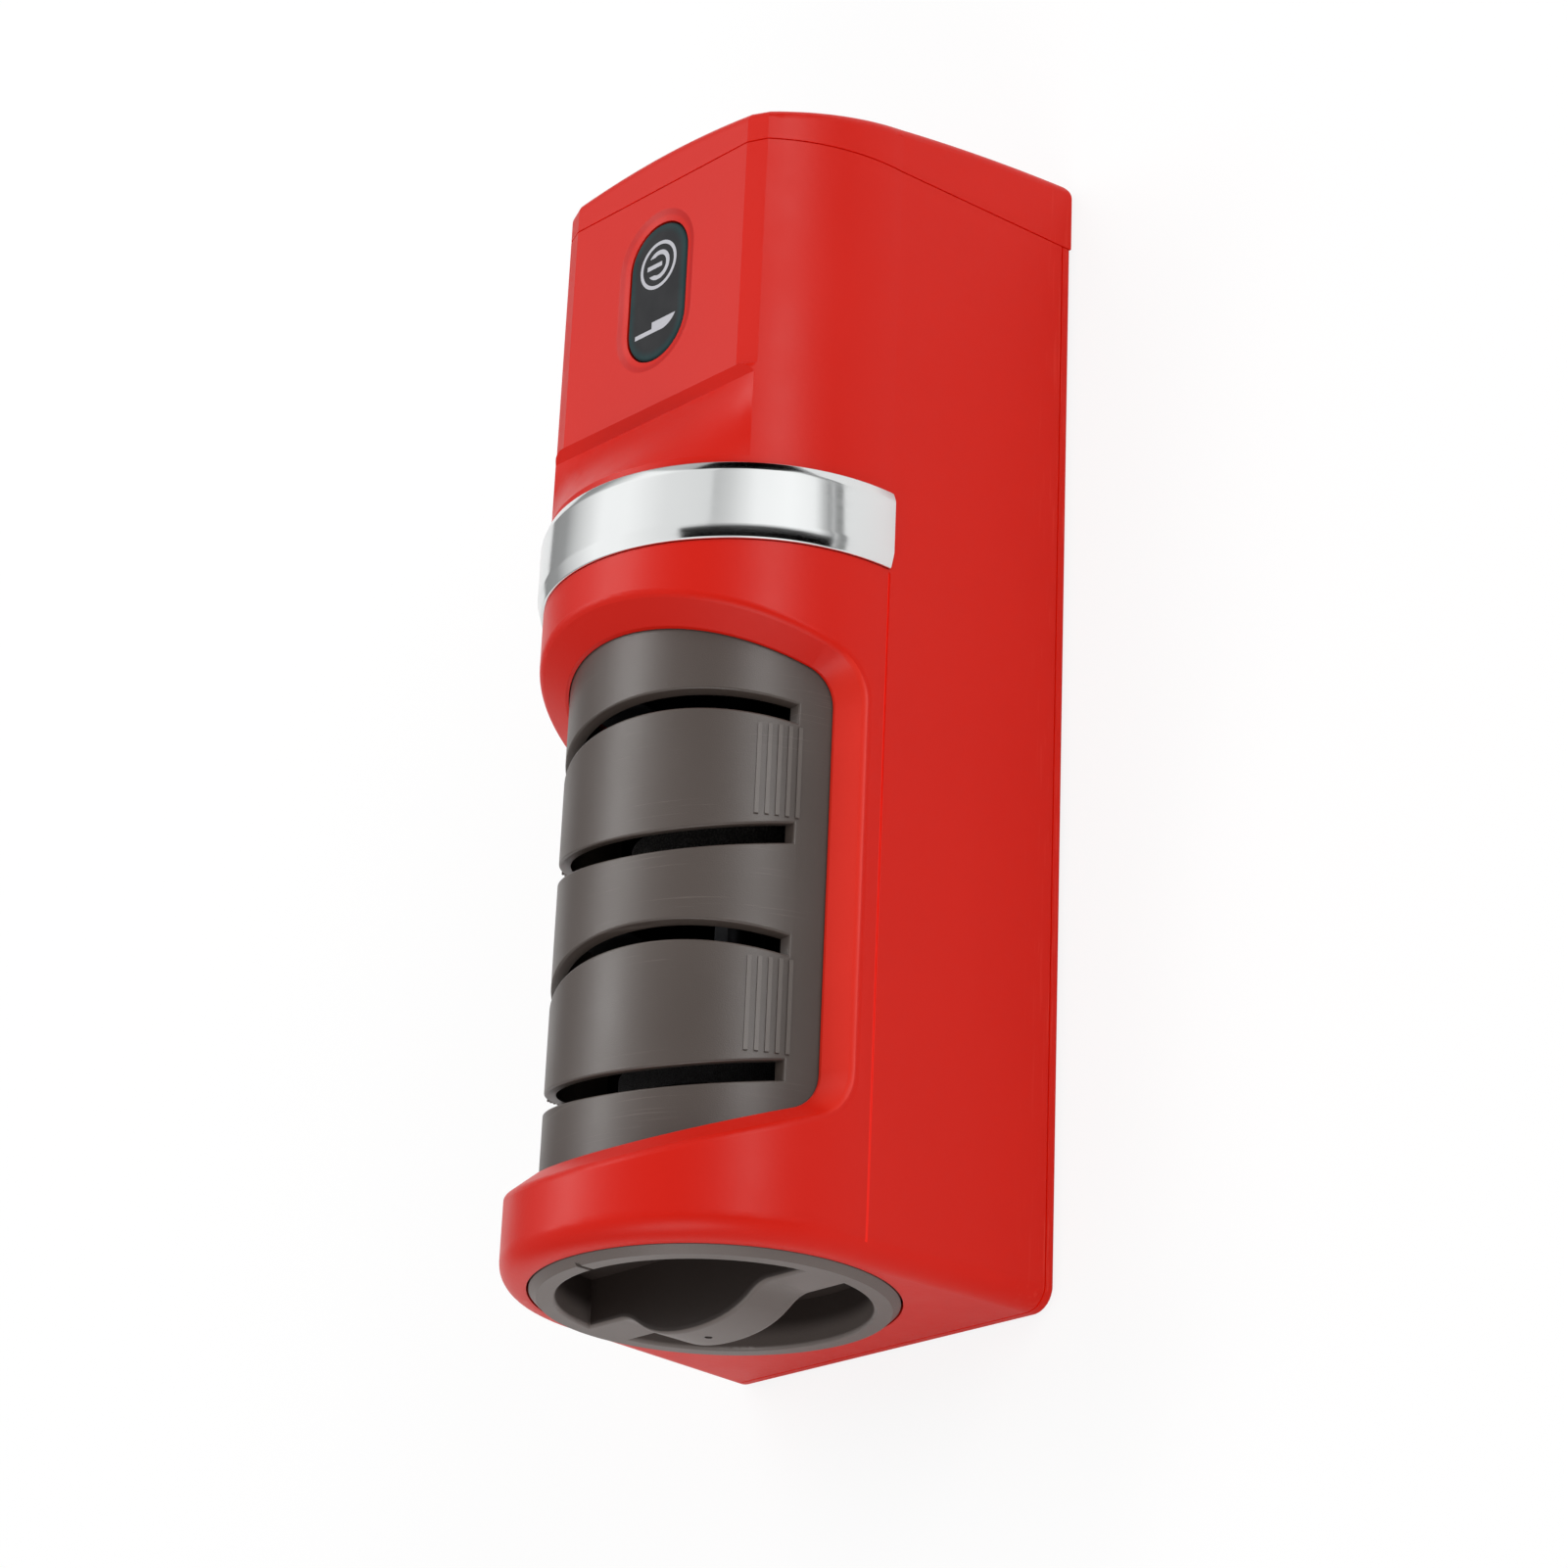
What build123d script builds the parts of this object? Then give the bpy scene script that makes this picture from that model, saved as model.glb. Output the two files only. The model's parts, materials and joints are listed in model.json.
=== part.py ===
from build123d import *
import os
from math import asin, atan, cos, degrees, radians, sin, sqrt, tan

# Electric knife sharpener: a long arched body that lies on its base plate.
# +X runs along the body from the twist knob to the end cap, +Z is up, and the body is
# symmetric in Y. Distances called "d" are measured along the body from the knob-end face.

# --- body shell ---
arch_radius = 36.0          # outer radius of the arched crown
arch_lift = 4.5             # the arch's full circle would end this far above the underside
base_flare = 3.1            # the sides stand out by this at the underside
wall = 2.4                  # general wall of the moulded shells
housing_length = 201.5      # knob-end face to the seam of the end cap
end_edge_radius = 4.2       # rounded rim of the knob-end face
end_wall = 3.0              # thickness of the knob-end face
plate_edge = 2.0            # visible edge of the base plate
deck_rise = 3.2             # top of the base plate inside the shell
seam_gap = 0.3              # line between housing and base plate, and at the end cap
seam_depth = 0.5            # depth of the line at the end cap
seam_play = 0.05
overlap = 1.0               # a joined piece reaches this far into its neighbour
foot_reach = 1.0            # rubber feet stand out of the base plate by this
side_line_width = 0.5       # fine line along each side where the arch meets it
side_line_depth = 0.2

# --- end cap ---
cap_top_reach = 7.8         # cap beyond the seam at the button facet
cap_lean = 0.15             # run of the cap face per mm of drop
cap_dome_radius = 190.0     # the cap face is domed from side to side
cap_upright_radius = 420.0  # and, less, from top to bottom
cap_edge_radius = 2.5
cap_spigot = 5.0            # collar of the cap inside the housing
cap_spigot_wall = 1.6
fit_gap = 0.2               # clearance of a located seat

# --- button facet and the ramp that leads to it ---
facet_below_crown = 10.2    # height of the crown above the facet
facet_start = 156.9         # d of the facet's edge
facet_step = 1.2            # drop from the facet to the foot of the ramp
facet_step_run = 1.9        # length of that sloped step
ramp_start = 138.6          # d where the ramp leaves the crown
facet_bevel = 2.2           # bevel between the facet and the arched sides

# --- chrome band ---
band_start = 122.6
band_width = 14.7
band_proud = 1.2            # band stands out of the crown by this
band_seat_depth = 0.6       # groove in the crown that holds the band
band_shoulder = 2.0         # sloped shoulder along each rim of the band
band_shoulder_drop = 0.7    # drop of that shoulder

# --- window and slot cover ---
cover_below_crown = 5.6     # depth of the slot cover under the crown
cover_wall = 2.0
window_low = 28.2           # d of the window's knob-side border at the height of the axis
window_high = 98.8          # d of its other border there
window_lean = 0.368         # outward lean of both borders per mm of height
window_foot = 6.3           # lower edge of the window above the axis
window_corner = 7.0         # rounded lower corners of the window
window_flare = 2.4          # the window widens by this towards the outside
window_flare_depth = 5.0    # depth of that slope
window_edge_radius = 1.8    # rounding of the window's outer border
cover_flange = 5.0          # the cover reaches under the window frame by this
cover_foot = 2.0            # lowest edge of the cover above the axis
cover_screw_length = 3.6
cover_screw_inset = 2.1     # from the edge of the cover's flange
collar_wall = 2.4           # wall of the window frame

# --- blade slots ---
stage_centers = (41.4, 83.1)    # d of the fine and the coarse stage
slot_offset = 6.1           # slot centre from its stage centre, at the height of the axis
slot_lean = 0.21            # outward lean of each slot per mm of height
slot_splay = 4.6            # the slots of a stage spread towards the near side, in degrees
slot_width = 3.45
slot_foot = 12.1            # bottom of the slots above the axis
slot_edge_radius = 0.4      # rounded lips of the slots
grip_rib_angles = (54.0, 57.3, 60.6, 63.9, 67.2)    # around the body from the crown
grip_rib_length = 16.4
grip_rib_width = 0.7
grip_rib_height = 0.35

# --- twist knob at the end of the body ---
knob_border = 5.1           # ring of the end face around the knob
knob_gap = 0.4              # dark gap around the flange
knob_face_reach = 1.3       # flange stands out of the end face by this
knob_flange_depth = 3.0     # flange behind the end face
knob_cup_step = 2.6         # the cup behind the flange is smaller by this
knob_cup_wall = 1.9
knob_pocket_depth = 7.0     # pocket floor behind the end face
knob_floor = 2.0
knob_edge = 1.3             # bevel around the flange
grip_width = 10.0           # straight grip across the knob
grip_reach = 5.1            # crest of the grip beyond the flange face
grip_shoulder = 2.4         # height of the grip at its shoulders
grip_shoulder_offset = 12.5  # shoulders from the middle of the grip
grip_foot_offset = 18.5     # here the grip is down to the flange face
grip_edge = 1.0
knob_lip = 0.7              # rounded rim of the finger pockets
index_width = 1.0           # index groove in the flange, at the crown
index_depth = 0.5
dimple_radius = 0.7         # two dimples that mark the grip's crest
dimple_pitch = 2.1
lug_inset = 0.5             # bayonet lugs end inside the flange's rim by this
lug_thickness = 2.5
lug_angle = 26.0            # arc of each lug
lug_count = 3
lug_slack = 3.0             # notch and stop clearance around a lug, in degrees
stop_angle = 5.0            # arc of the stops that end the twist
lock_ring_thickness = 2.6
turn_gap = 0.3              # axial clearance of the knob's bayonet
knob_turn = 60.0            # twist from locked to free

# --- grinding spindle ---
shaft_radius = 3.0
shaft_flat = 2.5            # flat of the shaft from its axis
run_gap = 0.05              # radial running clearance
wheel_radius = 18.0
wheel_inner_offset = 4.5    # inner face of each wheel from the stage centre
wheel_edge_offset = 9.7     # outer face of each wheel at its rim
wheel_cone_run = 0.23       # outward run of the cone per mm towards the axis
wheel_hub_radius = 7.0
wheel_spring_radius = 5.2
wheel_spring_wire = 0.5
wheel_spring_turns = 5
clip_thickness = 0.8
clip_radius = 5.5
clip_groove = 0.6
wheel_zone_margin = 2.0
spring_seat = 1.5           # each spring end sits this deep in its wheel
bush_length = 6.0
bush_radius = 5.0
knob_hub_radius = 8.0
shaft_end_gap = 1.0

# --- ball bearing and its bracket ---
bearing_outer = 9.5
bearing_width = 6.0
bearing_overhang = 4.0      # the bearing's seat stands out of the bulkhead by this
race_thickness = 1.7
race_groove_depth = 0.5
ball_gap = 0.02
ball_count = 7
bulkhead_clearance = 1.0    # between the slot cover and the bulkhead
bulkhead_thickness = 3.0
bulkhead_gap = 0.4
bearing_boss_wall = 2.5
bearing_shoulder = 7.0      # opening behind the bearing
bracket_foot_length = 9.0
bracket_foot_width = 12.0
bracket_foot_side = 14.0
bracket_foot_height = 9.0

# --- motor ---
motor_radius = 17.9
motor_plate_thickness = 3.0
motor_plate_radius = 22.0
motor_length = 50.0
motor_boss_radius = 6.5
motor_boss_length = 2.5
motor_wall = 1.2
motor_shaft_radius = 1.6
motor_bell_length = 7.0
motor_screw_offset = 12.5   # each motor screw from the drive axis
motor_screw_reach = 1.0     # tip of each motor screw inside the can
terminal_offset = 10.0
terminal_length = 5.0
terminal_width = 3.0
terminal_thickness = 0.5
magnet_offset = 6.0         # magnets behind the can's front wall
magnet_thickness = 3.0
magnet_arc = 130.0
rotor_gap = 0.8
rotor_length = 26.0
rotor_slots = 5
commutator_radius = 4.0
commutator_length = 9.0
coupler_radius = 8.0
coupler_plate = 3.0
motor_coupler_plate = 2.1
coupler_dog = 3.0
coupler_gap = 0.3
coupler_dog_angle = 80.0

# --- power button ---
button_center = 180.6
button_length = 27.4
button_width = 14.9
button_gap = 0.3
button_sink = 0.5           # button face below the facet
button_flange = 1.0
button_flange_border = 1.0
button_stroke = 0.5
button_edge_radius = 0.6
dish_border = 2.2           # shallow dish around the button
dish_depth = 0.6
dish_margin = 0.01          # the dish's cutter stands this far out of the facet
symbol_depth = 0.3
symbol_center = 186.0
symbol_ring_radius = 4.8
symbol_ring_width = 0.7
symbol_arc_radius = 2.5
symbol_arc_gap = 3.6
symbol_stroke = 0.9
knife_symbol_place = 172.3  # d of the knife symbol's lower edge
knife_symbol_length = 10.6
knife_blade_depth = 2.2

# --- electronics ---
board_start = 161.0
board_length = 34.0
board_width = 30.0
board_thickness = 1.6
board_drop = 3.3            # board top below the inside of the facet
board_post_radius = 2.4
board_post_inset = 3.0
switch_size = 6.0
switch_height = 1.4
switch_plunger_radius = 1.6
switch_plunger_length = 1.3
cell_radius = 9.15
cell_length = 65.0
cell_pitch = 19.2
cell_edge = 0.8
cradle_clearance = 1.0      # between the motor's front and the cradle
cradle_floor = 1.2
cradle_wall = 1.2
cradle_height = 9.0
contact_thickness = 0.4
contact_half_width = 12.0
contact_height = 3.0
socket_rise = 32.0          # charging socket above the underside of the base plate
socket_width = 8.9
socket_height = 3.2
socket_depth = 7.5
socket_sink = 0.6
socket_wall = 0.35
socket_tongue = 6.5
socket_back = 1.0           # closed back of the socket, and its tongue's step inside the mouth
socket_shelf_margin = 2.0
socket_board_size = (14.0, 12.0, 1.2)

# --- base plate, feet and fasteners ---
screw_radius = 1.4
screw_head_radius = 2.8
screw_head_height = 1.6
screw_clear = 0.15
screw_length = 9.0
boss_radius = 3.8
boss_height = 16.0
base_screw_ds = (14.0, 104.0, 190.0)
base_screw_inset = 6.5      # from the edge of the base plate
small_screw_radius = 1.0
small_screw_head_radius = 1.9
small_screw_head_height = 1.1
small_screw_length = 4.0
plate_rim_radius = 0.8
foot_radius = 6.0
foot_thickness = 1.9
foot_ds = (26.0, 176.0)
foot_inset = 11.7           # from the edge of the base plate
tray_start = 20.0
tray_length = 78.0
tray_half_width = 24.0
tray_height = 9.0
tray_wall = 1.4
spring_strip = 0.4          # blade guide springs
spring_strip_width = 10.0
spring_strip_length = 12.0

# --- places worked out from the sizes above ---
axis_rise = arch_radius + arch_lift
base_half_width = arch_radius + base_flare
base_screw_side = base_half_width - base_screw_inset
foot_side = base_half_width - foot_inset
facet_rise = axis_rise + arch_radius - facet_below_crown
cover_radius = arch_radius - cover_below_crown
cover_end = window_high + window_lean * cover_radius + cover_flange
bulkhead_start = cover_end + bulkhead_clearance
bearing_start = bulkhead_start - bearing_overhang
shaft_end = bulkhead_start + bulkhead_thickness + coupler_gap + coupler_plate
motor_coupler_start = shaft_end + coupler_dog + coupler_gap
motor_plate_start = motor_coupler_start + motor_coupler_plate + coupler_gap
motor_front = motor_plate_start + motor_plate_thickness
cell_start = motor_front + cradle_clearance + cradle_wall + contact_thickness
knob_radius = arch_radius - knob_border
knob_bore = knob_radius + knob_gap
knob_cup_outer = knob_radius - knob_cup_step
knob_pocket_radius = knob_cup_outer - knob_cup_wall
lug_radius = knob_radius - lug_inset
facet_drop = cap_lean * facet_rise
cap_base_lean = tan(atan(cap_lean) - asin(facet_rise / 2 / cap_upright_radius))
cap_round_back = cap_edge_radius * (cap_base_lean + sqrt(1 + cap_base_lean**2) - 1)
body_length = housing_length + cap_top_reach + facet_drop - cap_round_back
grip_crest = knob_face_reach + grip_reach
knob_end_x = (grip_crest - body_length) / 2
axis_z = foot_reach + axis_rise
floor_z = foot_reach
plate_top = floor_z + plate_edge
deck_z = floor_z + deck_rise
facet_z = floor_z + facet_rise
facet_inner_z = facet_z - wall
board_top_z = facet_inner_z - board_drop
board_low_z = board_top_z - board_thickness
lock_start = knob_flange_depth + turn_gap
lock_end = lock_start + lock_ring_thickness
lug_start = lock_end + turn_gap
knob_floor_end = knob_pocket_depth + knob_floor
side_lean = (base_half_width - arch_radius) / axis_rise
cut_reach = 120.0           # longer than any cut has to be


def at(d):
    """x of a place d along the body"""
    return knob_end_x + d


def side_half(z, inset=0.0):
    """half width of the flared sides at a height"""
    return arch_radius + side_lean * (axis_z - z) - inset


def arch_section(inset, bottom):
    """outline of the body across X: an arch on two flared sides"""
    radius = arch_radius - inset
    foot = side_half(bottom, inset)
    outline = Polyline((-radius, axis_z), (-foot, bottom), (foot, bottom), (radius, axis_z))
    outline += ThreePointArc((radius, axis_z), (0, axis_z + radius), (-radius, axis_z))
    return make_face(outline)


def arch_solid(d_start, d_end, inset, bottom):
    """the arched outline drawn out along the body"""
    face = Plane.YZ.offset(at(d_start)) * arch_section(inset, bottom)
    return extrude(face, d_end - d_start)


def rod(d_start, d_end, radius):
    """a cylinder on the drive axis"""
    place = Plane.YZ.offset(at(d_start)) * Pos(0, axis_z)
    return extrude(place * Circle(radius), d_end - d_start)


def ring(d_start, d_end, outer, inner):
    """a ring on the drive axis"""
    place = Plane.YZ.offset(at(d_start)) * Pos(0, axis_z)
    return extrude(place * (Circle(outer) - Circle(inner)), d_end - d_start)


def block(d_start, d_end, y_low, y_high, z_low, z_high):
    """a plain block between two corners"""
    size = Box(d_end - d_start, y_high - y_low, z_high - z_low)
    return Pos(at((d_start + d_end) / 2), (y_low + y_high) / 2, (z_low + z_high) / 2) * size


def post(d, y, z_low, z_high, radius):
    """an upright cylinder"""
    return Pos(at(d), y, (z_low + z_high) / 2) * Cylinder(radius, z_high - z_low)


def along_y(points, half_width):
    """an outline in d and z drawn out across the body"""
    corners = [(at(d), z) for d, z in points]
    face = Plane.XZ * make_face(Polyline(*corners, close=True))
    return extrude(face, half_width, both=True)


def solid_list(shape):
    """the shape as a compound of its solids"""
    solids = shape.solids()
    return solids[0] if len(solids) == 1 else Compound(children=list(solids))


def facet_cut(drop=0.0, back=0.0):
    """space above the button facet, its sloped step and the ramp to the crown"""
    high = axis_z + 2 * arch_radius
    foot_d = facet_start - facet_step_run - back
    foot_z = facet_z - facet_step - drop
    flat = along_y(
        [
            (foot_d, high),
            (foot_d, foot_z),
            (facet_start - back, facet_z - drop),
            (body_length + arch_radius, facet_z - drop),
            (body_length + arch_radius, high),
        ],
        2 * arch_radius,
    )
    radius = arch_radius - drop
    half = sqrt(radius**2 - (foot_z - axis_z) ** 2)
    crest = axis_z + radius
    ramp_top = Polyline((half, foot_z), (half, high), (-half, high), (-half, foot_z))
    ramp_top += ThreePointArc((half, foot_z), (0, crest), (-half, foot_z))
    ramp_foot = Polyline((half, foot_z), (half, high), (-half, high), (-half, foot_z), close=True)
    start = Plane.YZ.offset(at(ramp_start - back)) * make_face(ramp_top)
    end = Plane.YZ.offset(at(foot_d)) * make_face(ramp_foot)
    ramp = loft([start, end], ruled=True)
    return flat + ramp


def window_prism(grow, foot):
    """the window's outline in side view, grown by a border and drawn out across the body"""
    top = 1.5 * arch_radius
    low = window_low - grow
    high = window_high + grow
    corners = [
        (at(low - window_lean * foot), axis_z + foot),
        (at(high + window_lean * foot), axis_z + foot),
        (at(high + window_lean * top), axis_z + top),
        (at(low - window_lean * top), axis_z + top),
    ]
    outline = Plane.XZ * make_face(Polyline(*corners, close=True))
    solid = extrude(outline, 2 * arch_radius, both=True)
    low_edges = solid.edges().filter_by(Axis.Y).sort_by(Axis.Z)[:2]
    return fillet(low_edges, window_corner + grow)


def slot_centers():
    """d at the axis and lean direction of the four blade slots"""
    return [(center + side * slot_offset, side) for center in stage_centers for side in (-1, 1)]


def slot_slab(d, side, width, foot, top):
    """a leaning, splayed slab across the body, centred on a blade slot"""
    half = width / 2
    low = d + side * slot_lean * foot
    high = d + side * slot_lean * top
    points = [
        (low - half, axis_z + foot),
        (low + half, axis_z + foot),
        (high + half, axis_z + top),
        (high - half, axis_z + top),
    ]
    splay = Pos(at(d), 0, 0) * Rot(0, 0, side * slot_splay) * Pos(-at(d), 0, 0)
    return splay * along_y(points, 2 * arch_radius)


def pill(d, length, width, z_low, z_high):
    """a slot-shaped prism standing on the facet, long along the body"""
    face = Pos(at(d), 0, z_low) * SlotOverall(length, width)
    return extrude(face, z_high - z_low)


def make_housing():
    """the shell: arch, facet, window frame, knob opening and inner bosses"""
    bottom = plate_top + seam_gap
    shell = arch_solid(0, housing_length, 0, bottom)
    end_face = shell.faces().sort_by(Axis.X)[0]
    rim = [edge for edge in end_face.edges() if edge.center().Z > bottom + end_edge_radius]
    shell = fillet(rim, end_edge_radius)
    shell -= facet_cut()
    facet = shell.faces().filter_by(Axis.Z).sort_by(Axis.Z)[-1]
    shell = chamfer(facet.edges().filter_by(Axis.X), facet_bevel)

    room = arch_solid(end_wall, housing_length + wall, wall, bottom - wall)
    shell -= room - facet_cut(wall, wall / 2)
    shell += window_collar()
    shell -= window_prism(0, window_foot)
    border = [edge for edge in shell.edges() if on_window_border(edge)]
    shell = chamfer(border, window_flare, window_flare_depth)
    shell = fillet([edge for edge in shell.edges() if on_window_border(edge)], window_edge_radius)

    sleeve = ring(end_wall / 2, lock_end, arch_radius - wall / 2, knob_cup_outer + turn_gap)
    shell += sleeve
    shell -= rod(-wall, lock_start, knob_bore)
    notch_arc = lug_angle + lug_slack
    shell -= lug_sectors(lock_start - wall, lock_end + wall, knob_turn, notch_arc, lug_radius + turn_gap)
    stop_middle = (notch_arc + stop_angle) / 2
    for turn in (-stop_middle, knob_turn + stop_middle):
        stops = lug_sectors(lock_end, lock_end + lug_thickness, turn, stop_angle, arch_radius - wall / 2)
        shell += stops - rod(0, housing_length, knob_cup_outer + turn_gap)

    seat = ring(band_start, band_start + band_width, 2 * arch_radius, arch_radius - band_seat_depth)
    seat &= block(band_start, band_start + band_width, -cut_reach, cut_reach, axis_z, cut_reach)
    shell -= seat
    for side in (-1, 1):
        y = side * arch_radius
        half = side_line_width / 2
        shell -= block(0, band_start - side_line_width, y - side_line_depth, y + side_line_depth,
                       axis_z - half, axis_z + half)

    opening = 2 * button_gap
    shell -= pill(button_center, button_length + opening, button_width + opening,
                  facet_z - 2 * wall, facet_z + wall)
    shell -= button_dish()
    small_hole = small_screw_radius + screw_clear
    for d, y in board_screw_places():
        shell += post(d, y, board_top_z, facet_z - wall / 2, board_post_radius)
        shell -= post(d, y, board_top_z - wall, board_top_z + small_screw_length, small_hole)
    for d, y in base_screw_places():
        boss = post(d, y, deck_z, deck_z + boss_height, boss_radius)
        shell += boss & arch_solid(0, housing_length, wall / 2, bottom)
        shell -= post(d, y, floor_z, base_screw_top(), screw_radius + screw_clear)
    for d in cover_screw_ds():
        top = cover_screw_seat() + cover_screw_length + screw_clear
        shell -= post(d, 0, axis_z, top, small_hole)
    return shell


def base_screw_top():
    """height of the end of a base screw's hole"""
    return floor_z + screw_head_height + screw_length + screw_clear


def window_collar():
    """the thick frame around the window that the slot cover lies under"""
    collar = ring(0, housing_length, arch_radius - wall / 2, cover_radius + fit_gap)
    collar &= window_prism(window_flare + collar_wall, window_foot - window_flare - collar_wall)
    return collar


def on_window_border(edge):
    """whether an edge is part of the window's outer border on the crown"""
    middle = edge @ 0.5
    inside = at(end_edge_radius) < middle.X < at(band_start)
    on_arch = abs(edge_radius(edge) - arch_radius) < fit_gap
    return on_arch and inside and middle.Z > axis_z + window_foot / 2


def lug_sectors(d_start, d_end, turn, arc, radius):
    """equal sectors around the drive axis"""
    reach = 2 * radius
    place = Plane.YZ.offset(at(d_start)) * Pos(0, axis_z)
    sectors = []
    for index in range(lug_count):
        middle = 90 + 360 / lug_count * index + turn
        sides = [middle - arc / 2, middle + arc / 2]
        corners = [(0, 0)] + [(reach * cos(radians(a)), reach * sin(radians(a))) for a in sides]
        wedge = make_face(Polyline(*corners, close=True)) & Circle(radius)
        sectors.append(extrude(place * wedge, d_end - d_start))
    return sectors[0] + sectors[1:]


def button_dish():
    """the shallow dished border around the button"""
    base = Plane.XY.offset(facet_z - dish_depth) * Pos(at(button_center), 0)
    rim = Plane.XY.offset(facet_z + dish_margin) * Pos(at(button_center), 0)
    small = base * SlotOverall(button_length + 2 * button_gap, button_width + 2 * button_gap)
    wide = 2 * (button_gap + dish_border)
    large = rim * SlotOverall(button_length + wide, button_width + wide)
    return loft([small, large])


def base_screw_places():
    """d and y of the screws that hold the base plate"""
    return [(d, side * base_screw_side) for d in base_screw_ds for side in (-1, 1)]


def board_screw_places():
    """d and y of the screws at the corners of the circuit board"""
    low = board_start + board_post_inset
    high = board_start + board_length - board_post_inset
    side = board_width / 2 - board_post_inset
    return [(d, y) for d in (low, high) for y in (-side, side)]


def cover_screw_ds():
    """d of the two screws in the cover's flange, on the crown"""
    low = window_low - window_lean * cover_radius - cover_flange
    return low + cover_screw_inset, cover_end - cover_screw_inset


def cover_screw_seat():
    """height of the flat seats of the cover's screws"""
    return axis_z + cover_radius - cover_wall


def make_end_cap():
    """the cap that closes the far end, with a leaning and domed face"""
    start = housing_length + seam_gap
    cap = arch_solid(start, body_length + wall, 0, floor_z)
    cap -= facet_cut()
    facet = cap.faces().filter_by(Axis.Z).sort_by(Axis.Z)[-1]
    cap = chamfer(facet.edges().filter_by(Axis.X), facet_bevel)
    cap &= cap_envelope(0)
    face = cap.faces().sort_by(lambda side: side.center().X)[-1]
    cap = fillet(face.edges(), cap_edge_radius)
    seam_face = cap.faces().sort_by(Axis.X)[0]
    cap += extrude(offset(seam_face, -seam_depth), seam_gap - seam_play)
    hollow = arch_solid(start - wall, body_length, wall, floor_z + wall)
    hollow -= facet_cut(wall)
    cap -= hollow & cap_envelope(wall)
    cap += cap_collar(start)
    cap -= socket_block(socket_width / 2 + screw_clear, socket_height / 2 + screw_clear, body_length)
    shelf_top = floor_z + socket_rise - socket_height / 2 - socket_board_size[2]
    shelf_start = socket_end() - socket_depth - socket_shelf_margin
    shelf_half = socket_board_size[1] / 2
    shelf = block(shelf_start, body_length, -shelf_half, shelf_half, shelf_top - wall, shelf_top)
    cap += shelf & cap_envelope(wall / 2)
    return cap


def cap_collar(start):
    """the collar of the cap that plugs into the housing"""
    plug_inset = wall + fit_gap
    plug = arch_solid(start - cap_spigot, start, plug_inset, deck_z + fit_gap) - facet_cut(plug_inset)
    root = arch_solid(start, start + wall, wall / 2, deck_z + fit_gap) - facet_cut(wall / 2)
    core = arch_solid(start - 2 * cap_spigot, start + 2 * wall, plug_inset + cap_spigot_wall, 0)
    core -= facet_cut(plug_inset + cap_spigot_wall)
    return plug + root - core


def cap_envelope(inset):
    """space inside the leaning, domed face of the end cap, moved in by inset"""
    across = cap_dome_radius - inset
    upright = cap_upright_radius - inset
    edge = across - upright + sqrt(upright**2 - cut_reach**2)
    outline = Polyline((edge, cut_reach), (0, cut_reach), (0, -cut_reach), (edge, -cut_reach))
    outline += ThreePointArc((edge, -cut_reach), (across, 0), (edge, cut_reach))
    barrel = revolve(Plane.XZ * make_face(outline), Axis.Z)
    drop = facet_rise / 2
    bulge = cap_upright_radius - sqrt(cap_upright_radius**2 - drop**2)
    reach = housing_length + cap_top_reach + cap_lean * drop + bulge
    middle = Pos(at(reach), 0, facet_z - drop) * Rot(0, -degrees(atan(cap_lean)), 0)
    return middle * Pos(-cap_dome_radius, 0, 0) * barrel


def socket_end():
    """d of the outer end of the charging socket"""
    return body_length - cap_lean * socket_rise - socket_sink


def socket_block(half_width, half_height, d_end):
    """the flat oval space of the charging socket"""
    place = Plane.YZ.offset(at(socket_end() - socket_depth)) * Pos(0, floor_z + socket_rise)
    outline = place * SlotOverall(2 * half_width, 2 * half_height)
    return extrude(outline, d_end - socket_end() + socket_depth)


def make_base_plate():
    """the plate that closes the underside and carries the inner pieces"""
    length = housing_length
    plate = block(0, length, -base_half_width, base_half_width, floor_z, plate_top)
    plate &= arch_solid(0, length, 0, floor_z)
    uprights = [edge for edge in plate.edges() if abs((edge @ 0).Z - (edge @ 1).Z) > plate_edge / 2]
    corners = [edge for edge in uprights if edge.center().X < at(length / 2)]
    plate = fillet(corners, end_edge_radius)
    underside = plate.faces().sort_by(Axis.Z)[0]
    low_rim = [edge for edge in underside.edges() if edge.center().X < at(length - end_edge_radius)]
    plate = fillet(low_rim, plate_rim_radius)
    deck = arch_solid(end_wall + fit_gap, length - cap_spigot, wall + fit_gap, plate_top)
    plate += deck & block(0, length, -base_half_width, base_half_width, plate_top, deck_z)
    for d, y in base_screw_places() + bracket_screw_places():
        plate -= post(d, y, 0, deck_z + wall, screw_radius + screw_clear)
        plate -= post(d, y, 0, floor_z + screw_head_height, screw_head_radius + screw_clear)
    for d, y in foot_places():
        plate -= post(d, y, 0, foot_thickness, foot_radius + screw_clear)
    return plate


def foot_places():
    """d and y of the rubber feet"""
    return [(d, side * foot_side) for d in foot_ds for side in (-1, 1)]


def bracket_screw_places():
    """d and y of the screws that hold the bulkhead and the motor plate"""
    front = bulkhead_start - bracket_foot_length / 2
    back = motor_plate_start - bracket_foot_length / 2
    return [(d, side * bracket_foot_side) for d in (front, back) for side in (-1, 1)]


def make_rubber_feet():
    """four round feet in their recesses"""
    feet = []
    for d, y in foot_places():
        foot = post(d, y, 0, foot_thickness, foot_radius)
        feet.append(fillet(foot.edges().sort_by(Axis.Z)[0], foot_reach / 2))
    return Compound(children=feet)


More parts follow.
